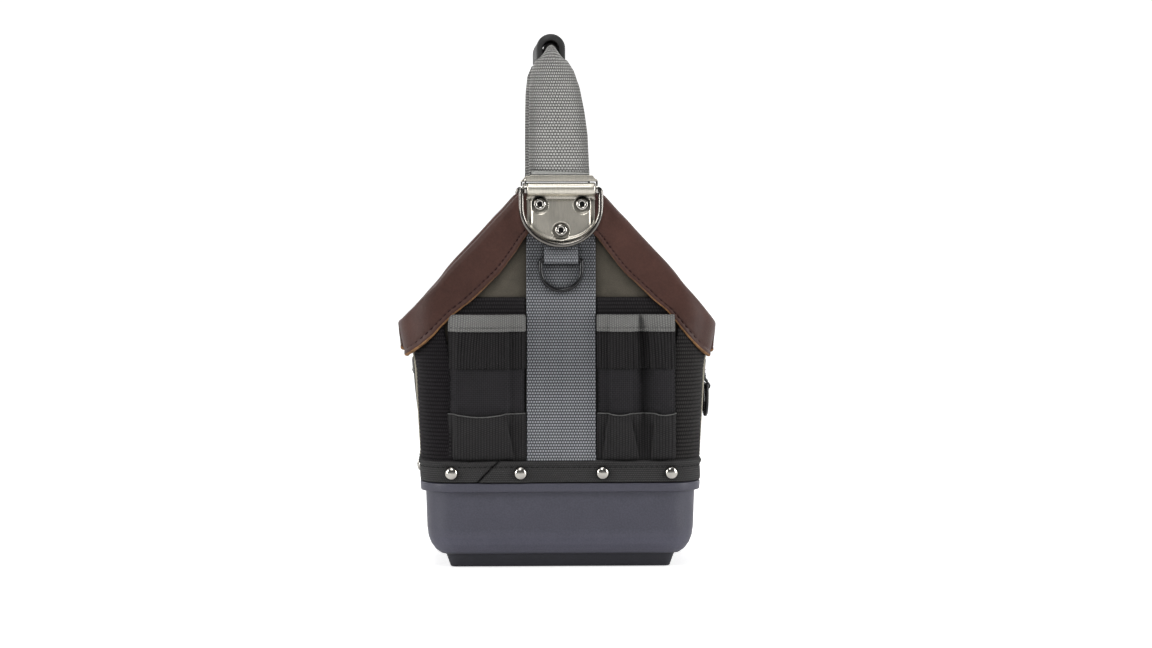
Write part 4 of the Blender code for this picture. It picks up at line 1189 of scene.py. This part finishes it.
        def stitch(run):
            s, z = self.start + run, BINDING_LOW + BINDING_SEAM
            return s, self.binding_face(s, z), z

        stitches(self.name + "_binding_stitches", stitch, self.end - self.start, GREY_THREAD,
                 size=(1.9, 1.0, 0.3), place=self.place)

    def build(self, lower):
        self.sheet("nylon", (FOOT_Z, POCKET_TOP - 0.8), self.nylon_face if lower else self.face,
                   1.2, NYLON, step=(1.1, 1.6), replaces=(self.name + "_pocket",))
        self.sheet("ribbed_band",
                   (lambda s: 147.0 + 0.5 * wobble(s, 1.0, 11.0, self.seed), POCKET_TOP - 1.5),
                   self.band_face, 1.1, POCKET_BAND_WEB, step=(0.44, 2.2))
        if lower:
            self.build_lower()
        self.build_binding((self.name + "_pocket_binding",) if lower else ())
        for tag, s in (("left", self.start + 1.2), ("right", self.end - 1.2)):
            stitches(f"{self.name}_seam_{tag}",
                     lambda run: (s, self.face(s, 80 + run) + 0.1, 80 + run), 66.0,
                     BLACK_THREAD, size=(2.2, 1.2, 0.35), place=self.place, slot="black_nylon")


FULL_LEFT = [
    (0.0, 0.0), (0.03, 0.16), (0.12, 0.93), (0.32, 1.0), (0.66, 0.97),
    (0.73, 0.82), (0.81, 0.34), (0.95, 0.26), (1.0, 0.0),
]
TOOL_LEFT = [
    (0.0, 0.0), (0.04, 0.16), (0.24, 0.24), (0.39, 0.88), (0.54, 1.0),
    (0.68, 0.92), (0.80, 0.62), (0.92, 0.28), (1.0, 0.02),
]
TOOL_RIGHT = [
    (0.0, 0.02), (0.18, 0.12), (0.40, 0.66), (0.56, 0.97),
    (0.72, 1.0), (0.88, 0.80), (0.96, 0.5), (1.0, 0.0),
]
EMPTY = [
    (0.0, 0.0), (0.04, 0.22), (0.24, 0.82), (0.5, 1.0), (0.76, 0.82), (0.96, 0.22), (1.0, 0.0),
]
POCKET_LOBES = {
    "front_left": [Lobe(-82.8, -25.9, 9.6, FULL_LEFT, (0.085, 0.73, -0.01, 0.115))],
    "front_right": [
        Lobe(25.9, 60.0, 8.8, TOOL_LEFT, (0.255, 0.69, -0.13, 0.216)),
        Lobe(60.0, 83.6, 8.6, TOOL_RIGHT, (0.364, 0.93, -0.127, 0.02)),
    ],
    "back_left": [Lobe(25.9, 82.8, 7.0, EMPTY)],
    "back_right": [Lobe(-82.8, -25.9, 7.0, EMPTY)],
}
for seed, (name, lobes) in enumerate(POCKET_LOBES.items(), 11):
    front = name.startswith("front")
    Pocket(name, lobes, 0.0 if front else 2 * QUARTER, float(seed)).build(lower=front)

# ---------------------------------------------------------------- side pockets
SIDE_POCKET_HALF, SIDE_STITCH_Z = 38.0, 143.4


def side_face(s, z):
    bulge = 0.5 * (1 - (s / SIDE_POCKET_HALF) ** 4) * smooth((z - 84) / 50)
    return 1.4 + bulge + 0.3 * wobble(s, z, 16.0, 21.0)


def side_binding_face(s, z):
    return side_face(s, z) + 0.7 - 0.8 * smooth((z - 151.0) / 1.2)


def side_stitch(run):
    return run - 37.0, side_binding_face(run - 37.0, SIDE_STITCH_Z), SIDE_STITCH_Z


for side, s0 in SIDES:
    s_range = (-SIDE_POCKET_HALF, SIDE_POCKET_HALF)
    sheet(f"{side}_side_pocket_nylon", s_range, (FOOT_Z, 151.4), side_face, 1.2, NYLON,
          step=(1.6, 1.6), s0=s0, replaces=(f"{side}_side_pocket",))
    sheet(f"{side}_side_pocket_binding", s_range, (141.5, 152.2), side_binding_face, 1.0,
          BINDING, step=(1.6, 0.8), s0=s0)
    stitches(f"{side}_side_pocket_stitches", side_stitch, 74.0, GREY_THREAD,
             size=(2.0, 1.1, 0.3), place=lambda s, out, z: at(s0 + s, out, z))

# ---------------------------------------------------------------- inside pockets
INNER_HALF, INNER_LOBE = 72.0, 48.0  # three lobes side by side
INNER_TOP = 159.4
INNER_RANGE = (-INNER_HALF, INNER_HALF)


def inner_form(s, z):
    share = (s + INNER_HALF) % INNER_LOBE / INNER_LOBE
    bulge = (smooth(share / 0.3) * smooth((1 - share) / 0.3)) ** 0.8
    bulge *= 0.9 + 0.1 * sin(pi * share)
    grow = table(z, [(79.0, 0.0), (95.0, 0.6), (160.0, 1.0)])
    return -PANEL_T - 0.9 - 7.6 * grow * bulge - 0.3 * wobble(s, z, 15.0, 31.0)


inner_drape = cloth_relief("inner_pocket_cloth", INNER_RANGE, (FOOT_Z, INNER_TOP),
                           lambda s, z: -inner_form(s, z), (-72.0, -24.0, 24.0, 72.0),
                           cap=0.8, step=2.4)


def inner_face(s, z):
    return inner_form(s, z) - max(-0.4, inner_drape(s, z)) * smooth((z - 82.0) / 8.0)


for side, s0 in FACES:
    sheet(f"{side}_inner_pocket_nylon", INNER_RANGE, (FOOT_Z, INNER_TOP), inner_face, 1.2, NYLON,
          step=(1.6, 2.0), s0=s0, replaces=(f"{side}_inner_pocket",))
    sheet(f"{side}_inner_pocket_binding", INNER_RANGE, (150.5, 160.2),
          lambda s, z: inner_face(s, z) - 1.0, 1.0, BINDING, step=(1.6, 1.0), s0=s0)


# ---------------------------------------------------------------- rivets through the foot band
def base_rivet(name, s, z=71.0):
    x, y = path(s, 0.0)
    x_out, y_out = path(s, 1.0)
    seat = band_face(s, z) - 0.1
    dome = [(4.7 * sin(a), seat + 0.35 + 2.7 * cos(a)) for a in divide(0.0, pi / 2, 10)[1:]]
    profile = [
        (0.0, seat + 3.05), *dome, (4.75, seat + 0.1), (4.5, seat - 0.1), (1.95, seat - 0.1),
        (1.95, -7.3), (3.4, -7.4), (3.8, -7.8), (3.6, -8.4), (0.0, -8.6),
    ]
    lathe(name + "_dome", profile, (x, y, z), (x_out - x, y_out - y, 0.0), CHROME, steps=36,
          replaces=(name,), angle=50)


for side, s0 in FACES:
    for number, s in enumerate((-80.0, -30.0, 30.0, 80.0), 1):
        base_rivet(f"{side}_base_rivet_{number}", s0 + s)
for side, s0 in SIDES:
    base_rivet(f"{side}_base_rivet", s0)

# ---------------------------------------------------------------- hinge hardware
HINGE_OUT = 8.4  # hinge pin to wall
BARREL_R = 4.8
RIVETS = ((-15.5, 266.5), (15.5, 266.5), (0.0, 247.6))  # x, z
X_AXIS, Y_AXIS, Z_AXIS = Vector((1, 0, 0)), Vector((0, 1, 0)), Vector((0, 0, 1))


def leaning(sign):
    """Up and outward directions of the leaning front (sign -1) or back (sign 1)."""
    up = Vector((0.0, -sign * sin(TILT), cos(TILT)))
    return up, Vector((0.0, sign * cos(TILT), sin(TILT)))


def ring_path(half, drop, corner, steps):
    """Outline of a D ring as (x, drop), from its flat top."""
    flat = half - corner
    top = 0.32 * drop
    bend = [
        (flat + corner * sin(a), corner - corner * cos(a)) for a in divide(0.0, pi / 2, 6)[1:]
    ]
    bow = [(half * cos(a), top + (drop - top) * sin(a)) for a in divide(0.0, pi, steps)]
    return [(x, 0.0) for x in divide(-flat, flat, 8)] + bend + bow + [
        (-x, down) for x, down in reversed(bend)
    ]


def plate_bottom(x):
    return -20.0 - 18.5 * math.sqrt(max(0.0, 1 - (x / 25.0) ** 2)) ** 0.92


def hinge_plate(side, pin, place):
    """Pressed plate with dished rivet seats, and the barrel round the pin."""
    seats = [(x, (z - pin.z) / cos(TILT)) for x, z in RIVETS]

    def face(x, rise):
        bead = 0.85 * hump(abs(x), 21.8, 0.75) * smooth((-rise - 6.0) / 1.5)
        bead *= 1 - smooth((-rise - 24.0) / 4.0)
        dish = 0.0
        for seat in seats:
            dish -= 1.0 * (1 - smooth((math.dist((x, rise), seat) - 5.2) / 1.9))
        lip = 1.1 * smooth((plate_bottom(x) + 3.4 - rise) / 2.0) if abs(x) < 24.5 else 0.0
        neck = 3.2 * (1 - smooth((-rise - 2.6) / 3.4))
        return -BARREL_R + 1.5 + bead + dish + lip + neck - 0.5 * hump(rise, -7.2, 0.9)

    sheet(f"{side}_plate", (-25.0, 25.0), (plate_bottom, -2.6), face, 1.3, PLATE,
          step=(0.55, 0.6), place=place, replaces=(f"{side}_hinge_plate",), angle=70)
    barrel = [
        (2.5, -25.0), (3.9, -25.0), (4.6, -24.6),
        *((BARREL_R, x) for x in divide(-24.0, 24.0, 24)),
        (4.6, 24.6), (3.9, 25.0), (2.5, 25.0), (2.5, -25.0),
    ]
    lathe(f"{side}_hinge_barrel", barrel, pin, X_AXIS, PLATE, steps=40, angle=45)


def backing_plate(side, place):
    outline = fillet([
        (-21, -6.5, 2), (-21, -18, 2), (-20, -26, 6), (0, -37, 16),
        (20, -26, 6), (21, -18, 2), (21, -6.5, 2),
    ])
    face = -HINGE_OUT - 7.3
    sections = [[place(x, out, rise) for x, rise in outline] for out in (face, face - 1.3)]
    sweep(f"{side}_backing", sections, PLATE, replaces=(f"{side}_backing_plate",), angle=30)


def eyelets(side, sign, outward):
    seat = HINGE_OUT - BARREL_R + 0.6
    roll = [
        (3.05 - 1.4 * cos(a), seat + 0.9 + 1.35 * sin(a)) for a in divide(0.0, pi, 10)[1:-1]
    ]
    profile = [
        (0.0, seat - 1.6), (1.5, seat - 1.6), (1.6, seat - 1.3), (1.65, seat + 0.9), *roll,
        (4.5, seat + 0.6), (4.6, seat - 0.1), (2.3, seat - 0.3),
        (2.3, -8.9), (3.9, -9.0), (4.2, -9.4), (4.0, -9.9), (0.0, -9.9),
    ]
    # dark disc inside the bore: painted shade in the hole
    hole = [(0.0, seat - 0.1), (1.55, seat - 0.1), (1.55, seat - 0.7), (0.0, seat - 0.7)]
    for number, (x, z) in enumerate(RIVETS, 1):
        centre = (x, sign * (HALF_D + lean(z)), z)
        name = f"{side}_eyelet_{number}"
        lathe(name, profile, centre, outward, CHROME, steps=36,
              replaces=(f"{side}_hinge_rivet_{number}",), angle=50)
        lathe(name + "_hole", hole, centre, outward, HOLE_SHADE, steps=24, angle=40)


BAIL_TOP = 10.2
BAIL_SHOULDER = (22.6, 23.2, 23.8, 24.4, 25.0, 25.5, 26.0)  # x stations
EAR_R, EAR_HOLE_R = 4.1, 2.25


def bail(side, place):
    """Folded channel with ears that hang on the pin."""
    body = f"{side}_strap"
    section = fillet([  # rise, out, corner radius
        (5.5, -2.5, 0.8), (5.5, 2.5, 0.8), (BAIL_TOP, 2.5, 0.5), (BAIL_TOP, 1.45, 0.3),
        (6.5, 1.45, 0.4), (6.5, -1.45, 0.4), (BAIL_TOP, -1.45, 0.3), (BAIL_TOP, -2.5, 0.5),
    ], steps=4)

    def lowered(x, rise):
        if rise <= 6.0:
            return rise
        shoulder = BAIL_TOP - 3.2 * smooth((abs(x) - 22.3) / 3.6)
        return min(rise, shoulder - (BAIL_TOP - rise) * 0.35)

    xs = [-x for x in reversed(BAIL_SHOULDER)] + span(-22, 22, 5.5) + list(BAIL_SHOULDER)
    sweep(f"{side}_bail_channel",
          [[place(x, out, lowered(x, rise)) for rise, out in section] for x in xs], PLATE,
          body=body, replaces=(f"{side}_strap_bail",), angle=40)
    rim, hole = [], []
    for k in range(24):
        up, out = cos(2 * pi * k / 24), sin(2 * pi * k / 24)
        reach = EAR_R
        if up > 0.2:
            reach = max(EAR_R, min(7.2 / up, 2.9 / max(abs(out), 1e-6)))
        rim.append((up * reach, out * reach))
        hole.append((up * EAR_HOLE_R, out * EAR_HOLE_R))
    faces = []
    for a in range(24):
        b = (a + 1) % 24
        faces += [
            (a, b, 24 + b, 24 + a), (48 + a, 72 + a, 72 + b, 48 + b),
            (a, 48 + a, 48 + b, b), (24 + a, 24 + b, 72 + b, 72 + a),
        ]
    for tag, ends in (("left", (-26.7, -25.4)), ("right", (25.4, 26.7))):
        verts = [place(x, out, up) for x in ends for loop in (rim, hole) for up, out in loop]
        piece(f"{side}_bail_ear_{tag}", verts, faces, CHROME, [vert[1:] for vert in verts],
              body=body, angle=30)


for side, sign in (("front", -1), ("back", 1)):
    pin = JOINT[f"{side}_ring_swing"]
    up, outward = leaning(sign)
    place = axes(pin, X_AXIS, up, outward)
    hinge_plate(side, pin, place)
    backing_plate(side, place)
    eyelets(side, sign, outward)
    ring = ring_path(half=29.0, drop=41.0, corner=2.4, steps=56)
    tube(f"{side}_large_ring_wire", [place(x, 0.0, -down) for x, down in ring], 1.85, WIRE,
         sides=20, body=f"{side}_ring", replaces=(f"{side}_large_d_ring",))
    bail(side, axes(pin, X_AXIS, Z_AXIS, Y_AXIS * sign))

# ---------------------------------------------------------------- keepers and small rings
SMALL_WIRE_R = 1.5
KEEPER_R = SMALL_WIRE_R + 0.35 + 0.6  # middle of the tape round the wire
KEEPER_LINE = [  # rise, out
    (13.0, -KEEPER_R - 0.2), (9.0, -KEEPER_R - 0.1), (6.0, -KEEPER_R), (3.0, -KEEPER_R),
    *((KEEPER_R * sin(a), KEEPER_R * cos(a)) for a in map(math.radians, divide(180, 430, 18))),
    (4.6, KEEPER_R * 0.1), (5.4, -KEEPER_R * 0.35), (6.4, -KEEPER_R + 1.35),
    (8.4, -KEEPER_R + 1.3), (9.6, -KEEPER_R + 1.2),
]


def keeper(side, ring, body, across, up, outward):
    """A tape looped round a small D ring."""
    place = axes(JOINT[body + "_swing"], across, up, outward)
    line, run = KEEPER_LINE, running(KEEPER_LINE)
    size = len(line)
    xs = span(-12.4, 12.4, 1.0)
    verts, uvs, faces = [], [], []
    for x in xs:
        for half_t in (0.55, -0.55):
            for k, (rise, out) in enumerate(line):
                a, b = line[max(k - 1, 0)], line[min(k + 1, size - 1)]
                along = Vector((b[0] - a[0], b[1] - a[1])).normalized()
                verts.append(place(x, out - along.x * half_t, rise + along.y * half_t))
                uvs.append((x, run[k]))
    for i in range(len(xs) - 1):
        a, b = i * 2 * size, (i + 1) * 2 * size
        for k in range(size - 1):
            faces.append((a + k, b + k, b + k + 1, a + k + 1))
            faces.append((a + size + k, a + size + k + 1, b + size + k + 1, b + size + k))
        faces.append((a, a + size, b + size, b))
        faces.append((a + size - 1, b + size - 1, b + 2 * size - 1, a + 2 * size - 1))
    for a in (0, (len(xs) - 1) * 2 * size):
        for k in range(a, a + size - 1):
            faces.append((k, k + 1, k + size + 1, k + size))
    piece(f"{side}_keeper_tape", verts, faces, GREY_WEB, uvs,
          replaces=(f"{side}_ring_keeper",), angle=70)
    stitches(f"{side}_keeper_tape_stitches", lambda t: (t - 11.4, -KEEPER_R + 2.0, 7.4), 22.8,
             GREY_THREAD, size=(1.8, 1.0, 0.3), place=place)
    outline = ring_path(half=15.0, drop=22.5, corner=2.0, steps=44)
    tube(f"{ring}_ring_wire", [place(x, 0.0, -down) for x, down in outline], SMALL_WIRE_R,
         BLACK_WIRE, body=body, replaces=(f"{ring}_d_ring",))


keeper("front", "front_small", "small_ring", X_AXIS, *leaning(-1))
keeper("side", "side", "side_ring", Y_AXIS, Z_AXIS, X_AXIS)

# ---------------------------------------------------------------- handle straps
GRIP_X = -7.0
STRAP_LOW, BEND_Z, BEND_R = 284.4, 372.0, 10.0
STRAP_HALF = [  # distance up the strap, half width
    (284.0, 22.2), (318.0, 21.4), (335.0, 20.2), (352.0, 18.4), (364.5, 15.6),
    (372.0, 11.6), (377.8, 8.6), (383.0, 6.2), (389.0, 5.0), (400.0, 4.6),
]
STRAP_MIDDLE = [  # distance, x of the middle
    (284.0, -1.2), (318.0, -2.0), (335.0, -3.1), (352.0, -4.6),
    (364.5, -6.0), (374.0, -7.0), (400.0, -7.0),
]
STRAP_FOLD = [  # distance, how far the edges fold back
    (284.0, 0.0), (318.0, 0.4), (335.0, 1.5), (352.0, 4.0),
    (364.5, 7.0), (372.0, 9.0), (380.0, 9.6), (400.0, 9.2),
]


def strap(side, sign, pin):
    """Webbing from the bail up and over into the grip; its edges fold back as it narrows."""
    bend = BEND_R * pi / 2
    runs = [STRAP_LOW + k * 0.42 for k in range(int((BEND_Z - STRAP_LOW) / 0.42))]
    runs += [BEND_Z + bend * k / 36 for k in range(37)]
    runs += [BEND_Z + bend + 0.9 * k for k in range(1, 12)]
    shares = divide(-1, 1, 90)
    verts, uvs, faces = [], [], []
    for run in runs:
        width, middle, fold = (table(run, t) for t in (STRAP_HALF, STRAP_MIDDLE, STRAP_FOLD))
        turn = clamp((run - BEND_Z) / bend) * pi / 2
        inward = BEND_R * (1 - cos(turn)) + max(0.0, run - BEND_Z - bend)
        y = pin.y - sign * inward
        z = min(run, BEND_Z) + BEND_R * sin(turn)
        normal = Vector((0, sign * cos(turn), sin(turn)))
        for share in shares:
            rib = weave(share * 22.0, run, 0.7) * (1 - smooth((abs(share) - 0.95) / 0.04))
            rib += 0.22 * hump(abs(share), 0.965, 0.02)
            wave = 0.35 * wobble(share * 22, run, 24.0, 41.0 + sign)
            x = middle + width * sin(share * pi / 2 * 0.72) / sin(pi / 2 * 0.72)
            base = Vector((x, y, z)) - normal * (fold * abs(share) ** 2.0)
            verts += [base + normal * (1.0 + rib + wave), base + normal * (-1.0 - rib + wave)]
            uvs += [(share * 23.0, run)] * 2
    # Outer and inner points alternate along each row.
    size = 2 * len(shares)
    last = (len(runs) - 1) * size
    for a in range(0, last, size):
        b = a + size
        for k in range(0, size - 2, 2):
            faces.append((a + k, a + k + 2, b + k + 2, b + k))
            faces.append((a + k + 3, a + k + 1, b + k + 1, b + k + 3))
        faces.append((a, b, b + 1, a + 1))
        faces.append((b - 2, b - 1, b + size - 1, b + size - 2))
    for a in (0, last):
        for k in range(a, a + size - 2, 2):
            faces.append((k, k + 1, k + 3, k + 2))
    obj = piece(f"{side}_strap_webbing", verts, faces, STRAP_WEB, uvs, body=None,
                replaces=(f"{side}_handle_strap",), angle=80)
    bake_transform(obj)


for side, sign in (("front", -1), ("back", 1)):
    pin = JOINT[f"{side}_ring_swing"]
    strap(side, sign, pin)
    sheet(f"{side}_strap_hem", (-21.6, 20.4), (288.5, lambda x: 291.5 - 0.036 * (x + 22.0)),
          lambda x, z: 2.5 + 0.1 * wobble(x, z, 6.0, 3.0), 0.9, HEM, step=(1.1, 0.5),
          place=lambda x, out, z: (x, pin.y + sign * out, z), body=f"{side}_strap")

# ---------------------------------------------------------------- grip
GRIP_END = [  # y, thickness factor
    (50.0, 0.86), (49.6, 0.95), (48.8, 1.0), (46.5, 1.0), (45.6, 0.975), (44.6, 0.975),
]


def arch_section(y, outer, inner, foot, centre_z, steps):
    """An arched channel's section across y, open at its foot."""
    def arch(radius):
        bow = [
            (GRIP_X + radius * cos(a), y, centre_z + radius * sin(a))
            for a in divide(0.0, pi, steps)
        ]
        return [(GRIP_X + radius, y, foot), *bow, (GRIP_X - radius, y, foot)]
    return arch(outer) + arch(inner)[::-1]


def grip_section(y, factor):
    inner = 5.9 + ((1 - factor) * 3.0 if abs(y) > 48 else 0.0)
    return arch_section(y, 10.7 - (1 - factor) * 6.0, inner, foot=373.2, centre_z=381.0, steps=20)


grip_stations = [(-y, factor) for y, factor in GRIP_END]
grip_stations += [(y, 0.975) for y in span(-42, 42, 4)] + GRIP_END[::-1]
sweep("rubber_grip", [grip_section(*station) for station in grip_stations], RUBBER, body="grip",
      replaces=("handle_grip",), angle=50)
sweep("grip_webbing_core",
      [arch_section(y, 5.6, 3.7, foot=373.6, centre_z=379.4, steps=14)
       for y in span(-45.0, 45.0, 3.0)],
      STRAP_WEB, body="grip", replaces=("grip_core_webbing",), angle=50)


# ---------------------------------------------------------------- stage (metres from here on)
def stage_material():
    """Pale floor that looks brighter to the camera than to the pouch."""
    mat = Mat("stage_floor", None, (0.86, 0.86, 0.86), 0.65)
    patches = mat.noise(3.0, detail=2.0)
    white = (1.0, 1.0, 1.0)
    mat.set("Base Color", mat.shades(patches, white, (0.0, 0.855), (1.0, 0.865)))
    seen = mat.node("LightPath").outputs["Is Camera Ray"]
    mat.set("Emission Color", (*white, 1.0))
    mat.set("Emission Strength", mat.math("MULTIPLY", seen, 0.62))
    return mat.material


def stage(half_width=6, floor_z=-0.0004, bend_y=1.4, radius=1.2):
    """Floor that curves up into a wall behind the pouch."""
    bend = [
        (bend_y + radius * sin(a), radius - radius * cos(a)) for a in divide(0.0, pi / 2, 12)[1:]
    ]
    profile = [(-3.0, floor_z), (bend_y, floor_z), *bend, (2.6, 5.0)]
    size = len(profile)
    mesh = bpy.data.meshes.new("stage_floor")
    mesh.from_pydata([(x, y, z) for x in (-half_width, half_width) for y, z in profile], [],
                     [(k, k + 1, size + k + 1, size + k) for k in range(size - 1)])
    mesh.materials.append(stage_material())
    mesh.shade_smooth()
    floor = bpy.data.objects.new("stage_floor", mesh)
    bpy.context.scene.collection.objects.link(floor)


def studio_world():
    """White to the camera; to everything else a grey gradient from below to above."""
    world = bpy.data.worlds.new("studio")
    bpy.context.scene.world = world
    world.use_nodes = True
    tree = world.node_tree
    place = add_node(tree, "TexCoord").outputs["Generated"]
    height = add_node(tree, "SeparateXYZ", {0: place}).outputs[2]
    share = add_node(tree, "Math", {0: height, 1: 0.5, 2: 0.5}, operation="MULTIPLY_ADD")
    ramp = add_node(tree, "ValToRGB", {0: share.outputs[0]})
    elements = ramp.color_ramp.elements
    elements[0].position, elements[0].color = 0.0, (0.45, 0.45, 0.45, 1)
    elements[1].position, elements[1].color = 1.0, (0.22, 0.22, 0.23, 1)
    for position, grey in ((0.5, 0.34), (0.56, 0.22), (0.64, 0.07), (0.8, 0.05)):
        elements.new(position).color = (grey, grey, grey, 1)
    seen = add_node(tree, "LightPath").outputs["Is Camera Ray"]
    colours = {0: seen, 6: ramp.outputs[0], 7: (1, 1, 1, 1)}
    both = add_node(tree, "Mix", colours, data_type="RGBA")
    background = tree.nodes["Background"]
    tree.links.new(both.outputs[2], background.inputs[0])
    background.inputs[1].default_value = 1.0


def add_aimed(name, data, location, direction):
    """Adds a light or camera that looks along a direction."""
    obj = bpy.data.objects.new(name, data)
    obj.location = location
    obj.rotation_mode = "QUATERNION"
    obj.rotation_quaternion = direction.to_track_quat("-Z", "Y")
    bpy.context.scene.collection.objects.link(obj)
    return obj


LIGHT_AIM = Vector((0, 0, 0.18))
LIGHTS = (  # name, place, width, height, power in watts
    ("left_box", (-1.75, -0.85, 0.75), 0.5, 1.2, 21),
    ("right_box", (1.8, -0.8, 0.7), 0.5, 1.2, 23),
    ("front_top", (-0.3, -1.5, 1.9), 0.8, 0.8, 10.5),
    ("top", (0.0, 0.1, 1.9), 1.0, 1.0, 8.2),
    ("left_rim", (-1.3, 1.2, 0.8), 0.7, 1.2, 9),
    ("right_rim", (1.3, 1.2, 0.8), 0.7, 1.2, 9),
)
CAMERA_AIM = Vector((0.0111, -0.060, 0.1792))
CAMERA_DISTANCE = 2.2
CAMERA_TURN, CAMERA_RISE = math.radians(-2.3), math.radians(2.6)

stage()
studio_world()
for name, location, width, height, power in LIGHTS:
    lamp = bpy.data.lights.new(name, "AREA")
    lamp.shape = "RECTANGLE"
    lamp.size, lamp.size_y = width, height
    lamp.energy = power
    add_aimed(name, lamp, location, LIGHT_AIM - Vector(location))

towards_camera = Vector((
    sin(CAMERA_TURN) * cos(CAMERA_RISE), -cos(CAMERA_TURN) * cos(CAMERA_RISE), sin(CAMERA_RISE),
))
camera = bpy.data.cameras.new("camera")
camera.sensor_width = 36.0
camera.lens = 93.8
camera.clip_end = 20
camera_place = CAMERA_AIM + towards_camera * CAMERA_DISTANCE
bpy.context.scene.camera = add_aimed("camera", camera, camera_place, -towards_camera)
bpy.context.scene.view_settings.view_transform = "Standard"
